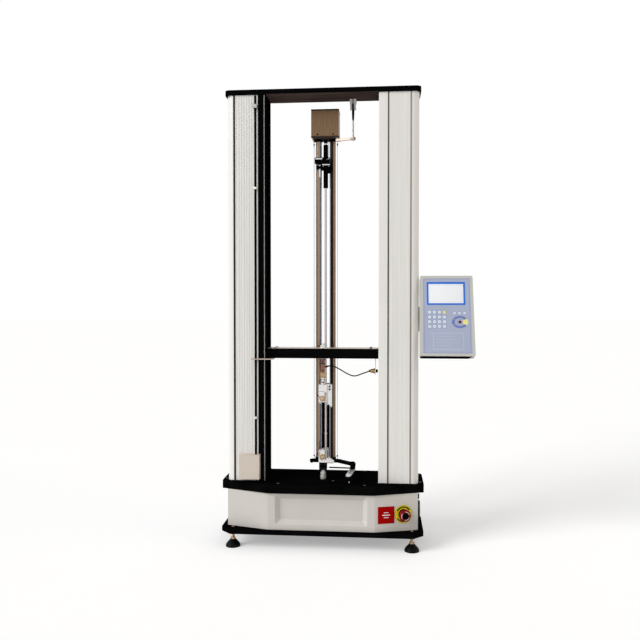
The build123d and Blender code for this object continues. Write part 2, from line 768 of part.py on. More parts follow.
def make_motor():
    """Servo motor hung under its bracket, with a rear cap and a bore for the pulley's shaft."""
    top = motor_deck()
    low = top - MOTOR_HEIGHT
    half = MOTOR_HALF
    body = block(-half, half, MOTOR_Y - half, MOTOR_Y + half, low + MOTOR_CAP, top)
    body += post(0, MOTOR_Y, low, low + MOTOR_CAP, half - MOTOR_CAP)
    return body - post(0, MOTOR_Y, top - MOTOR_SHAFT_IN, top, MOTOR_SHAFT + FIT)


def make_motor_bracket():
    """Plate with four legs under the table plate."""
    z0 = motor_deck()
    z1 = z0 + BRACKET_THICK
    half = MOTOR_HALF + BRACKET_LEG
    plate = block(-half, half, MOTOR_Y - half, MOTOR_Y + half, z0, z1)
    plate -= post(0, MOTOR_Y, z0, z1, MOTOR_SHAFT + GAP)
    for side in SIDES:
        for end in SIDES:
            plate += post(side * MOTOR_HALF, MOTOR_Y + end * MOTOR_HALF, z1, Z_TABLE, BRACKET_LEG)
    return plate


def make_motor_pulley():
    """Drive pulley with the motor shaft in one piece."""
    wheel = make_pulley(0, MOTOR_Y, MOTOR_PULLEY_RADIUS, MOTOR_SHAFT)
    shaft = post(0, MOTOR_Y, motor_deck() - MOTOR_SHAFT_IN + GAP, BELT_TOP + FLANGE_THICK, MOTOR_SHAFT)
    return wheel + shaft


# Bellows
def make_bellows(side, z0, z1):
    """Folded strip that closes a column's slot between two heights."""
    folds = round((z1 - z0) / BELLOWS_PITCH)
    pitch = (z1 - z0) / folds
    near = COLUMN_IN + BELLOWS_IN
    crest = near + BELLOWS_DEEP - BELLOWS_SKIN
    heights = [z0 + k * pitch / 2 for k in range(2 * folds + 1)]
    outer = [(near if k % 2 else crest, z) for k, z in enumerate(heights)]
    inner = [(x + BELLOWS_SKIN, z) for x, z in reversed(outer)]
    outline = make_face(Polyline(*[(side * x, 0, z) for x, z in outer + inner], close=True))
    half = SLOT_HALF - BELLOWS_SIDE
    strip = extrude(outline, 2 * half, dir=(0, 1, 0))
    return Pos(0, -half, 0) * strip


# Crosshead
def make_beam():
    """Crosshead beam with bores for the guide bushes and ball nuts."""
    beam = block(-BEAM_HALF, BEAM_HALF, -BEAM_HALF_DEPTH, BEAM_HALF_DEPTH, BEAM_BOTTOM, BEAM_TOP)
    for side in SIDES:
        beam -= post(side * POST_X, 0, BEAM_BOTTOM, BEAM_TOP, POST_RADIUS + BUSH_WALL)
        beam -= post(side * SCREW_X, 0, BEAM_BOTTOM, BEAM_TOP, NUT_RADIUS)
    return beam


def make_bush(side):
    x = side * POST_X
    bush = post(x, 0, BEAM_BOTTOM, BEAM_TOP, POST_RADIUS + BUSH_WALL)
    return bush - post(x, 0, BEAM_BOTTOM, BEAM_TOP, POST_RADIUS + FIT)


def make_ball_nut(side):
    x = side * SCREW_X
    low = BEAM_BOTTOM - NUT_FLANGE_THICK
    nut = post(x, 0, low, BEAM_BOTTOM, NUT_FLANGE)
    nut += post(x, 0, BEAM_BOTTOM, BEAM_TOP + NUT_PROUD, NUT_RADIUS)
    return nut - post(x, 0, low, BEAM_TOP + NUT_PROUD, SCREW_RADIUS + FIT)


def make_finger():
    """Bent plate under the crosshead that reaches round the left column to the limit rod."""
    z0 = BEAM_BOTTOM - FINGER_THICK
    front = ROD_Y - FINGER_WIDE / 2
    plate = block(ROD_X - FINGER_WIDE, -FINGER_IN, front, front + FINGER_WIDE, z0, BEAM_BOTTOM)
    plate += block(-FINGER_IN - FINGER_WIDE, -FINGER_IN, front, FINGER_BACK - BEAM_HALF_DEPTH,
                   z0, BEAM_BOTTOM)
    return plate - post(ROD_X, ROD_Y, z0, BEAM_BOTTOM, FINGER_HOLE)


# Limit switching
def make_limit_rod():
    """Switch rod with two adjustable collars and the flag between the switches."""
    rod = post(ROD_X, ROD_Y, BOX_BOTTOM + BOX_WALL + 2 * ROD_PLAY, ROD_TOP, ROD_RADIUS)
    rod += post(ROD_X, ROD_Y, flag_z(), flag_z() + FLAG_THICK, FLAG_RADIUS)
    collars = []
    for z in (COLLAR_LOW_Z, COLLAR_TOP_Z):
        collar = post(ROD_X, ROD_Y, z, z + COLLAR_HIGH, COLLAR_RADIUS)
        collars.append(collar - post(ROD_X, ROD_Y, z, z + COLLAR_HIGH, ROD_RADIUS))
    return [rod] + collars


def flag_z():
    """Underside of the flag, half way up the switch box."""
    return BOX_BOTTOM + BOX_HEIGHT / 2 - FLAG_THICK / 2


def make_limit_box():
    """Cover open towards the column, its mounting plate, and the two switches on the plate."""
    back = -COLUMN_HALF_DEPTH
    front = back - BOX_DEEP
    cover = block(BOX_LEFT, BOX_RIGHT, front, back, BOX_BOTTOM, BOX_TOP)
    cover = fillet(cover.edges().filter_by(Axis.Z).group_by(Axis.Y)[0], BOX_RADIUS)
    cover -= block(BOX_LEFT + BOX_WALL, BOX_RIGHT - BOX_WALL, front + BOX_WALL, back, BOX_BOTTOM + BOX_WALL,
                   BOX_TOP - BOX_WALL)
    cover -= post(ROD_X, ROD_Y, BOX_TOP - BOX_WALL, BOX_TOP, ROD_RADIUS + FIT)
    plate_front = back - BOX_WALL
    plate = block(BOX_LEFT + BOX_WALL, BOX_RIGHT - BOX_WALL, plate_front, back, BOX_BOTTOM + BOX_WALL,
                  BOX_TOP - BOX_WALL)
    strip = make_strip()
    pieces = [cover - strip, plate - strip]
    x1 = ROD_X - ROD_RADIUS - GAP
    x0 = x1 - SWITCH_LONG
    play = ROD_PLAY + GAP
    for low in (flag_z() - play - SWITCH_HIGH, flag_z() + FLAG_THICK + play):
        pieces.append(block(x0, x1, plate_front - SWITCH_DEEP, plate_front, low, low + SWITCH_HIGH))
    return pieces


def make_rod_guide():
    """Guide block for the top of the limit rod, on the left column's front."""
    strip_left = -STRIP_X - STRIP_WIDE
    guide = block(ROD_X - GUIDE_OUT, strip_left - STRIP_CLEAR, ROD_Y - COLLAR_RADIUS, -COLUMN_HALF_DEPTH,
                  GUIDE_Z, GUIDE_Z + GUIDE_THICK)
    return guide - post(ROD_X, ROD_Y, GUIDE_Z, GUIDE_Z + GUIDE_THICK, ROD_RADIUS + FIT)


# Load cell string
def make_load_cell():
    """S-shaped load cell seen edge on, with its cable gland."""
    cell = block(-CELL_HALF_X, CELL_HALF_X, -CELL_HALF_Y, CELL_HALF_Y, CELL_BOTTOM, CELL_TOP)
    upper = (CELL_TOP - CELL_SLOT_IN, -CELL_HALF_Y)
    lower = (CELL_BOTTOM + CELL_SLOT_IN, CELL_HALF_Y - CELL_SLOT_LONG)
    for level, start in (upper, lower):
        cell -= block(-CELL_HALF_X, CELL_HALF_X, start, start + CELL_SLOT_LONG,
                      level - CELL_SLOT / 2, level + CELL_SLOT / 2)
    return cell + rod_x(CELL_HALF_X, CELL_HALF_X + GLAND_LONG, 0, CELL_TOP - CABLE_DROP, GLAND_RADIUS)


def make_cell_fittings():
    """Washer, brass nut and grey coupling above and below the load cell."""
    washer = post(0, 0, CELL_TOP, BEAM_BOTTOM, WASHER_RADIUS)
    nut = hexagon(0, 0, BRASS_BOTTOM, CELL_BOTTOM, NUT_FLATS)
    coupling = post(0, 0, GRIP_TOP, BRASS_BOTTOM, FITTING_RADIUS)
    return [washer, nut, coupling]


def cable_points():
    """Route of the load cell's cable from its gland to the connector."""
    start = (CELL_HALF_X + GLAND_LONG, 0, CELL_TOP - CABLE_DROP)
    end = (CONNECTOR_IN, 0, CONNECTOR_Z)
    return [start, (27, -1, 590), (51, -5, 580), (79, -8, 563), (104, -8, 553), (131, -4, 564), end]


def make_cable():
    """Cable of straight runs and tangent arcs."""
    points = [Vector(*p) for p in cable_points()]
    radii = []
    for a, b, c in zip(points, points[1:], points[2:]):
        turn = (b - a).get_angle(c - b)
        shorter = min((b - a).length, (c - b).length)
        radii.append(0.45 * shorter / math.tan(math.radians(turn / 2)))
    path = FilletPolyline(*points, radius=radii)
    tube = sweep(Plane(origin=path @ 0, z_dir=path % 0) * Circle(CABLE_RADIUS), path=path)
    ratio = tube.volume / (math.pi * CABLE_RADIUS ** 2 * path.length)
    print("cable length", round(path.length, 1), "volume ratio", round(ratio, 4))
    print("cable radii", [round(r, 1) for r in radii])
    return tube


def make_connector():
    """Cable plug in its socket, on a hanging plate under the crosshead."""
    x0 = CONNECTOR_PLATE_X
    x1 = x0 + CONNECTOR_PLATE
    plug = rod_x(CONNECTOR_IN, x0, 0, CONNECTOR_Z, CONNECTOR_RADIUS)
    plug += rod_x(x0 - CONNECTOR_NUT_LONG, x0, 0, CONNECTOR_Z, CONNECTOR_NUT)
    plug += rod_x(x0, CONNECTOR_OUT, 0, CONNECTOR_Z, CONNECTOR_TAIL)
    half = CONNECTOR_PLATE_HALF
    plate = block(x0, x1, -half, half, CONNECTOR_Z - half, BEAM_BOTTOM)
    plate -= rod_x(x0, x1, 0, CONNECTOR_Z, CONNECTOR_TAIL)
    return [plug, plate]


# Grips
def side_plate(points):
    """Grip body from its outline of (x, z) points."""
    outline = make_face(Polyline(*[(x, 0, z) for x, z in points], close=True))
    return Pos(0, -GRIP_HALF_Y, 0) * extrude(outline, 2 * GRIP_HALF_Y, dir=(0, 1, 0))


def roller_pocket(z):
    """Pocket for a roller, with the bore for its pin in the back wall."""
    inner = GRIP_HALF_Y - GRIP_BACK_WALL
    pocket = rod_y(ROLLER_X, -GRIP_HALF_Y, inner, z, ROLLER_RADIUS + GAP)
    return pocket + rod_y(ROLLER_X, inner, GRIP_HALF_Y, z, ROLLER_PIN + FIT)


def make_upper_grip():
    """Grip body with the throat open downwards, and a longer jaw on its right."""
    throat_out = THROAT_IN + THROAT_WIDE
    jaw_out = GRIP_HALF_X + JAW_WIDE
    low = GRIP_BOTTOM
    end = low + THROAT_DEEP
    outline = [(-GRIP_HALF_X, low), (THROAT_IN, low), (THROAT_IN, end), (throat_out, end), (throat_out, low),
               (jaw_out, low - JAW_DROP), (jaw_out, GRIP_TOP), (-GRIP_HALF_X, GRIP_TOP)]
    return side_plate(outline) - roller_pocket(GRIP_BOTTOM + ROLLER_INSET)


def make_lower_grip():
    """Grip body with the throat open upwards, a peaked left leg and a slanted toe."""
    throat_out = THROAT_IN + THROAT_WIDE
    jaw_out = throat_out + LOWER_JAW
    top = LOWER_GRIP_TOP
    end = top - THROAT_DEEP
    outline = [(-GRIP_HALF_X, LOWER_GRIP_Z), (TOE_OUT, LOWER_GRIP_Z), (jaw_out, LOWER_GRIP_Z + TOE_RISE),
               (jaw_out, top), (throat_out, top), (throat_out, end), (THROAT_IN, end),
               (THROAT_IN, top - PEAK_RISE), (0, top), (-PEAK_HALF, top - PEAK_RISE),
               (PEAK_HALF - GRIP_HALF_X, top - PEAK_RISE), (-GRIP_HALF_X, top - 2 * PEAK_RISE)]
    return side_plate(outline) - roller_pocket(top - LOWER_ROLLER_DROP)


def make_roller(z):
    """Clamping roller with a flat towards the throat, its pin, and a small lever in front."""
    inner = GRIP_HALF_Y - GRIP_BACK_WALL
    roller = rod_y(ROLLER_X, -GRIP_HALF_Y, inner - GAP, z, ROLLER_RADIUS)
    edge = ROLLER_X + ROLLER_FLAT
    roller -= block(edge, edge + ROLLER_RADIUS, -GRIP_HALF_Y, inner, z - ROLLER_RADIUS, z + ROLLER_RADIUS)
    roller += rod_y(ROLLER_X, inner - GAP, GRIP_HALF_Y, z, ROLLER_PIN)
    boss = 2 * LEVER_RADIUS + GAP
    roller += rod_y(ROLLER_X, -GRIP_HALF_Y - boss, -GRIP_HALF_Y, z, ROLLER_PIN)
    lever = Pos(-LEVER_LENGTH / 2, 0, 0) * Rot(0, 90, 0) * Cylinder(LEVER_RADIUS, LEVER_LENGTH)
    place = Pos(ROLLER_X, -GRIP_HALF_Y - GAP - LEVER_RADIUS, z) * Rot(0, LEVER_TURN, 0)
    return roller + place * lever


def make_grip_base():
    """Square block between the lower grip and the adaptor's stem."""
    half = GRIP_BLOCK_HALF
    low = Z_DECK + ADAPTOR_HEIGHT + ADAPTOR_STEM
    base = block(-half, half, -half, half, low, LOWER_GRIP_Z)
    return base - post(0, 0, low, low + STEM_IN, ADAPTOR_NECK + FIT)


def make_adaptor():
    """Two polished rings with a spigot in the table and a stem up into the block."""
    z0 = Z_DECK
    neck = ADAPTOR_NECK
    z_groove = z0 + ADAPTOR_RING
    z_second = z_groove + ADAPTOR_GROOVE
    z_stem = z0 + ADAPTOR_HEIGHT
    z_end = z_stem + ADAPTOR_STEM + STEM_IN
    return turned([(0, z0 - SPIGOT_DEEP), (ADAPTOR_SPIGOT, z0 - SPIGOT_DEEP), (ADAPTOR_SPIGOT, z0),
                   (ADAPTOR_RADIUS, z0), (ADAPTOR_RADIUS, z_groove), (neck, z_groove), (neck, z_second),
                   (ADAPTOR_RADIUS, z_second), (ADAPTOR_RADIUS, z_stem), (neck, z_stem),
                   (neck, z_end), (0, z_end)])


# Extensometer
def make_ext_box():
    """Sheet housing and the base plate that carries it."""
    x0 = EXT_X - EXT_WIDE / 2
    x1 = EXT_X + EXT_WIDE / 2
    y1 = EXT_FRONT + EXT_DEEP
    low = EXT_BASE_Z + EXT_BASE_THICK
    wall = EXT_SHEET
    housing = block(x0, x1, EXT_FRONT, y1, low, EXT_TOP)
    housing -= block(x0 + wall, x1 - wall, EXT_FRONT + wall, y1 - wall, low, EXT_TOP - wall)
    return [housing, block(x0, x1, EXT_FRONT, y1, EXT_BASE_Z, low)]


def make_swing_arm():
    """Upper arm from the hinge to a spacer under the base plate."""
    z1 = EXT_BASE_Z - ARM_DROP
    z0 = z1 - ARM_THICK
    end_x = EXT_X + EXT_WIDE / 2 - ARM_RADIUS
    end_y = EXT_FRONT + ARM_END_IN
    arm = capsule(HINGE_X, HINGE_Y, end_x, end_y, ARM_RADIUS, z0, z1)
    arm += post(HINGE_X, HINGE_Y, z0, z1, HUB_RADIUS)
    arm += post(end_x, end_y, z1, EXT_BASE_Z, ARM_RADIUS)
    return arm - post(HINGE_X, HINGE_Y, z0, z1, HINGE_RADIUS + FIT)


def make_guide_tube(side):
    x = EXT_X + side * TUBE_SPREAD
    low = BAR_Z + BAR_THICK
    tube = post(x, TUBE_Y, low, EXT_BASE_Z, TUBE_RADIUS)
    return tube - post(x, TUBE_Y, low, EXT_BASE_Z, TUBE_RADIUS - TUBE_WALL)


def make_tube_collar(side, z0):
    x = EXT_X + side * TUBE_SPREAD
    ring = post(x, TUBE_Y, z0, z0 + TUBE_COLLAR_HIGH, TUBE_COLLAR)
    return ring - post(x, TUBE_Y, z0, z0 + TUBE_COLLAR_HIGH, TUBE_RADIUS + FIT)


def make_centre_rod():
    rod = post(EXT_X, TUBE_Y, BAR_Z + BAR_THICK, EXT_BASE_Z, CENTRE_RADIUS)
    return rod + post(EXT_X, TUBE_Y, STOP_Z, STOP_Z + STOP_HIGH, STOP_RADIUS)


def make_guide_wire(side):
    """Stretched wire with a ball near each end."""
    x = EXT_X + side * WIRE_SPREAD
    wire = post(x, TUBE_Y, BAR_Z + BAR_THICK, EXT_BASE_Z, WIRE_RADIUS)
    for z in WIRE_BALLS:
        wire += Pos(x, TUBE_Y, z) * Sphere(WIRE_BALL)
    return wire


def make_bottom_bar():
    """Lower arm under both tubes, with the dark backing plate that stands on it."""
    z1 = BAR_Z + BAR_THICK
    bar = capsule(EXT_X - BAR_END, TUBE_Y, EXT_X + BAR_END, TUBE_Y, BAR_END_RADIUS, BAR_Z, z1)
    bar += capsule(EXT_X + BAR_END, TUBE_Y, HINGE_X, HINGE_Y, BAR_RADIUS, BAR_Z, z1)
    bar -= post(HINGE_X, HINGE_Y, BAR_Z, z1, HINGE_RADIUS + FIT)
    back = TUBE_Y + STOP_RADIUS + GAP + BACKING_THICK
    plate = block(EXT_X - BACKING_HALF, EXT_X + BACKING_HALF, back - BACKING_THICK, back,
                  z1, z1 + BACKING_HIGH)
    return bar + plate


def make_hanger():
    """Black block under the top plate that holds the pivot rod."""
    half = HANGER_HALF
    hanger = block(HINGE_X - half, HINGE_X + half, HINGE_Y - half, HINGE_Y + half,
                   Z_TOP - HANGER_THICK, Z_TOP)
    return hanger - post(HINGE_X, HINGE_Y, Z_TOP - HANGER_THICK, Z_TOP, HINGE_RADIUS + FIT)


def make_hanger_clamp():
    """Slit clamp collar under the hanger, wider at its foot."""
    z1 = Z_TOP - HANGER_THICK
    z0 = z1 - CLAMP_HIGH
    bore = HINGE_RADIUS + FIT
    clamp = turned([(bore, z0), (CLAMP_RADIUS, z0), (CLAMP_WAIST, z1), (bore, z1)])
    clamp = Pos(HINGE_X, HINGE_Y, 0) * clamp
    return clamp - block(HINGE_X - CLAMP_SLIT, HINGE_X + CLAMP_SLIT, HINGE_Y - CLAMP_RADIUS, HINGE_Y, z0, z1)


def make_pivot_rod():
    """Hanging rod with a collar that carries the swing arm."""
    z0 = EXT_BASE_Z - ARM_DROP - ARM_THICK - GAP
    rod = post(HINGE_X, HINGE_Y, z0 - PIVOT_COLLAR_HIGH, Z_TOP, HINGE_RADIUS)
    return rod + post(HINGE_X, HINGE_Y, z0 - PIVOT_COLLAR_HIGH, z0, PIVOT_COLLAR)


def make_lower_bracket():
    """Foot block on the table, and the head with the lower hinge pin."""
    half = FOOT_BLOCK_HALF
    foot = block(FOOT_BLOCK_X - half, FOOT_BLOCK_X + half, FOOT_BLOCK_Y - half, FOOT_BLOCK_Y + half, Z_DECK,
                 Z_DECK + FOOT_BLOCK_HIGH)
    head_z = Z_DECK + FOOT_BLOCK_HIGH + ARM_PLATE
    head = post(HINGE_X, HINGE_Y, head_z, BAR_Z - GAP, HEAD_RADIUS)
    cap_z = BAR_Z + BAR_THICK + GAP
    head += post(HINGE_X, HINGE_Y, BAR_Z - GAP, cap_z, HINGE_RADIUS)
    head += post(HINGE_X, HINGE_Y, cap_z, cap_z + PIN_CAP_HIGH, PIN_CAP)
    return [foot, head]


def make_bracket_plate():
    """Light plate from the foot block back to the hinge head."""
    z0 = Z_DECK + FOOT_BLOCK_HIGH
    return capsule(FOOT_BLOCK_X, FOOT_BLOCK_Y, HINGE_X, HINGE_Y, HEAD_RADIUS, z0, z0 + ARM_PLATE)


def carriage_block(z0, z1, left, right):
    """Neck and cross piece in front of the tubes, from z0 to z1."""
    clear = TUBE_Y - TUBE_RADIUS - BLOCK_CLEAR
    front = clear - BLOCK_DEEP
    neck = block(EXT_X - CARRIAGE_SLEEVE, EXT_X + CARRIAGE_SLEEVE, clear, TUBE_Y, z0, z1)
    return neck + block(EXT_X - left, EXT_X + right, front, clear, z0, z1)


def clip(x, z):
    """Clip finger that reaches forward to the specimen's edge."""
    front = TUBE_Y - TUBE_RADIUS - BLOCK_CLEAR - BLOCK_DEEP
    return rod_y(x, front - CLIP_REACH, front, z, CLIP_RADIUS)


def make_upper_carriage():
    """Upper clip carriage, with its sleeve above the block."""
    top = UPPER_BLOCK_Z + UPPER_BLOCK_HIGH
    middle = (UPPER_BLOCK_Z + top) / 2
    carriage = carriage_block(UPPER_BLOCK_Z, top, UPPER_BLOCK_LEFT, UPPER_BLOCK_RIGHT)
    carriage += post(EXT_X, TUBE_Y, UPPER_BLOCK_Z, UPPER_SLEEVE_TOP, CARRIAGE_SLEEVE)
    carriage += clip(EXT_X - CLIP_OUT, middle) + clip(EXT_X + CLIP_IN, middle)
    return carriage - post(EXT_X, TUBE_Y, UPPER_BLOCK_Z, UPPER_SLEEVE_TOP, CENTRE_RADIUS + FIT)


def make_lower_carriage():
    """Lower clip carriage, with its sleeve below the block and a knob at its left."""
    top = LOWER_BLOCK_Z + LOWER_BLOCK_HIGH
    middle = (LOWER_BLOCK_Z + top) / 2
    carriage = carriage_block(LOWER_BLOCK_Z, top, LOWER_BLOCK_LEFT, LOWER_BLOCK_RIGHT)
    carriage += post(EXT_X, TUBE_Y, LOWER_SLEEVE_Z, top, CARRIAGE_SLEEVE)
    carriage += clip(EXT_X - CLIP_IN, middle) + clip(EXT_X + CLIP_OUT, middle)
    knob_y = TUBE_Y - TUBE_RADIUS - BLOCK_CLEAR - BLOCK_DEEP / 2
    left = EXT_X - LOWER_BLOCK_LEFT
    carriage += rod_x(left - KNOB_LONG, left, knob_y, middle, KNOB_RADIUS)
    return carriage - post(EXT_X, TUBE_Y, LOWER_SLEEVE_Z, top, CENTRE_RADIUS + FIT)


# Console
def console_place():
    """Frame on the tilt axis, leaning back."""
    return Location((CONSOLE_X, CONSOLE_TILT_Y, CONSOLE_Z), (-CONSOLE_TILT, 0, 0))


def case_outline(inset):
    """Front view of the console case, slightly wider at its foot."""
    high = CONSOLE_HALF_HIGH - inset
    low = CONSOLE_HALF_LOW - inset
    top = CONSOLE_HALF_TOP - inset
    outline = make_face(Polyline((-low, -high), (low, -high), (top, high), (-top, high), close=True))
    return fillet(outline.vertices(), max(CONSOLE_RADIUS - inset, MIN_RADIUS))


def case_slab(inset, y0, y1):
    """Slab of the case outline between two depths of the console's own frame."""
    plane = Plane(origin=(0, y1, 0), x_dir=(1, 0, 0), z_dir=(0, -1, 0))
    return extrude(plane * case_outline(inset), y1 - y0)


def make_console_case():
    """Front tray of the console with a seat for the overlay."""
    front = -CONSOLE_OFFSET - CONSOLE_DEEP
    back = -CONSOLE_OFFSET - CONSOLE_WALL
    tray = case_slab(0, front, back) - case_slab(CONSOLE_WALL, front + CONSOLE_WALL, back)
    tray -= case_slab(OVERLAY_BORDER, front, front + OVERLAY_THICK)
    return console_place() * tray


def make_console_panel():
    """Membrane overlay in the tray's seat."""
    front = -CONSOLE_OFFSET - CONSOLE_DEEP
    return console_place() * case_slab(OVERLAY_BORDER + FIT, front, front + OVERLAY_THICK)


def make_console_back():
    """Rear lid with two tilt lugs, and the tilt pin."""
    lid = case_slab(0, -CONSOLE_OFFSET - CONSOLE_WALL, -CONSOLE_OFFSET)
    x = CONSOLE_PIVOT_X - CONSOLE_X
    for side in SIDES:
        middle = x + side * TILT_SPREAD
        half = TILT_LUG / 2
        lid += block(middle - half, middle + half, -CONSOLE_OFFSET, 0, -TILT_BARREL, TILT_BARREL)
        lid += rod_x(middle - half, middle + half, 0, 0, TILT_BARREL)
    reach = TILT_SPREAD + TILT_LUG / 2
    lid -= rod_x(x - reach, x + reach, 0, 0, TILT_PIN)
    pin = rod_x(x - reach, x + reach, 0, 0, TILT_PIN)
    return [console_place() * lid, console_place() * pin]


def make_swivel_link():
    """Link between the bracket's lugs, with the tilt barrel in front."""
    x = CONSOLE_PIVOT_X
    half = LUG_SPREAD - LUG_THICK / 2 - GAP
    barrel = TILT_SPREAD - TILT_LUG / 2 - GAP
    link = block(x - LUG_RADIUS, x + LUG_RADIUS, -LUG_RADIUS, LUG_RADIUS, CONSOLE_Z - half, CONSOLE_Z + half)
    link += block(x - LUG_RADIUS, x + LUG_RADIUS, CONSOLE_TILT_Y, 0,
                  CONSOLE_Z - TILT_BARREL, CONSOLE_Z + TILT_BARREL)
    link += rod_x(x - barrel, x + barrel, CONSOLE_TILT_Y, CONSOLE_Z, TILT_BARREL)
    link -= post(x, 0, CONSOLE_Z - half, CONSOLE_Z + half, CONSOLE_PIN + FIT)
    return link - rod_x(x - barrel, x + barrel, CONSOLE_TILT_Y, CONSOLE_Z, TILT_PIN + FIT)


def make_console_bracket():
    """Plate on the right column with two lugs, and the upright swivel pin."""
    plate = block(COLUMN_OUT, COLUMN_OUT + BRACKET_PLATE, -LUG_RADIUS, BRACKET_BACK,
                  CONSOLE_Z - BRACKET_HALF_HIGH, CONSOLE_Z + BRACKET_HALF_HIGH)
    x = CONSOLE_PIVOT_X
    for side in SIDES:
        z = CONSOLE_Z + side * LUG_SPREAD
        low = z - LUG_THICK / 2
        plate += block(COLUMN_OUT, x, -LUG_RADIUS, LUG_RADIUS, low, low + LUG_THICK)
        plate += post(x, 0, low, low + LUG_THICK, LUG_RADIUS)
    reach = LUG_SPREAD + LUG_THICK / 2
    plate -= post(x, 0, CONSOLE_Z - reach, CONSOLE_Z + reach, CONSOLE_PIN)
    return [plate, post(x, 0, CONSOLE_Z - reach, CONSOLE_Z + reach, CONSOLE_PIN)]


# Emergency stop, red plate and sockets
def stop_place():
    return on_panel(STOP_ALONG, STOP_CENTRE_Z)


def make_legend():
    disc = rod_y(0, -LEGEND_THICK, 0, 0, LEGEND_RADIUS) - rod_y(0, -LEGEND_THICK, 0, 0, STOP_HOLE + FIT)
    return stop_place() * disc


def make_stop_body():
    """Switch body behind the panel, with its threaded neck and front ring."""
    half = STOP_BODY_HALF
    body = block(-half, half, SHEET, SHEET + STOP_BODY_DEEP, -half, half)
    body += rod_y(0, -STOP_NECK_OUT, SHEET, 0, STOP_HOLE)
    body += rod_y(0, -STOP_NECK_OUT, -LEGEND_THICK, 0, STOP_NECK)
    body -= rod_y(0, -STOP_NECK_OUT, STOP_STEM_IN + STOP_NECK_OUT, 0, STOP_STEM + FIT)
    return stop_place() * body


def make_stop_button():
    """Mushroom head on its stem."""
    back = -STOP_NECK_OUT - MUSHROOM_GAP
    skirt = MUSHROOM_RADIUS - MUSHROOM_EDGE
    dome = turned([(0, 0), (skirt, 0), (MUSHROOM_RADIUS, MUSHROOM_BULGE), (skirt, MUSHROOM_SHOULDER),
                   (MUSHROOM_CROWN, MUSHROOM_THICK), (0, MUSHROOM_THICK)])
    button = Pos(0, back, 0) * Rot(90, 0, 0) * dome
    button += rod_y(0, back, STOP_STEM_IN, 0, STOP_STEM)
    return stop_place() * button


def make_mark_plate():
    half = MARK_HALF
    return on_panel(MARK_ALONG, STOP_CENTRE_Z) * block(-half, half, -MARK_THICK, 0, -half, half)


def make_sockets():
    """Two round sockets on the right side, and the power inlet."""
    pieces = []
    for drop in SOCKET_HEIGHTS:
        z = Z_TABLE - drop
        socket = rod_x(COVER_HALF, COVER_HALF + SOCKET_PROUD, SOCKET_Y, z, SOCKET_RADIUS)
        socket += rod_x(COVER_HALF - SOCKET_IN, COVER_HALF, SOCKET_Y, z, SOCKET_NECK - FIT)
        pieces.append(socket - rod_x(COVER_HALF, COVER_HALF + SOCKET_PROUD, SOCKET_Y, z, SOCKET_BORE))
    return pieces + [make_inlet()]


def inlet_block(half_x, half_z, y0, y1):
    """Block centred on the power inlet."""
    return block(INLET_X - half_x, INLET_X + half_x, y0, y1, INLET_Z - half_z, INLET_Z + half_z)


def make_inlet():
    """Power inlet in the rear cover, with three pins in its well."""
    half_x = INLET_HALF_X - INLET_FLANGE - FIT
    half_z = INLET_HALF_Z - INLET_FLANGE - FIT
    well = COVER_BACK - INLET_WELL
    inlet = inlet_block(INLET_HALF_X, INLET_HALF_Z, COVER_BACK, COVER_BACK + INLET_FLANGE)
    inlet += inlet_block(half_x, half_z, COVER_BACK - INLET_DEEP, COVER_BACK)
    inlet -= inlet_block(half_x - INLET_WALL, half_z - INLET_WALL, well, COVER_BACK + INLET_FLANGE)
    for k in (-1, 0, 1):
        x = INLET_X + k * INLET_PIN_PITCH
        inlet += block(x - INLET_PIN, x + INLET_PIN, well, COVER_BACK - INLET_PIN_DOWN,
                       INLET_Z - INLET_PIN_HALF, INLET_Z + INLET_PIN_HALF)
    return inlet


def mirror_x(shape):
    """The left-hand twin of a right-hand piece."""
    return mirror(shape, about=Plane.YZ)


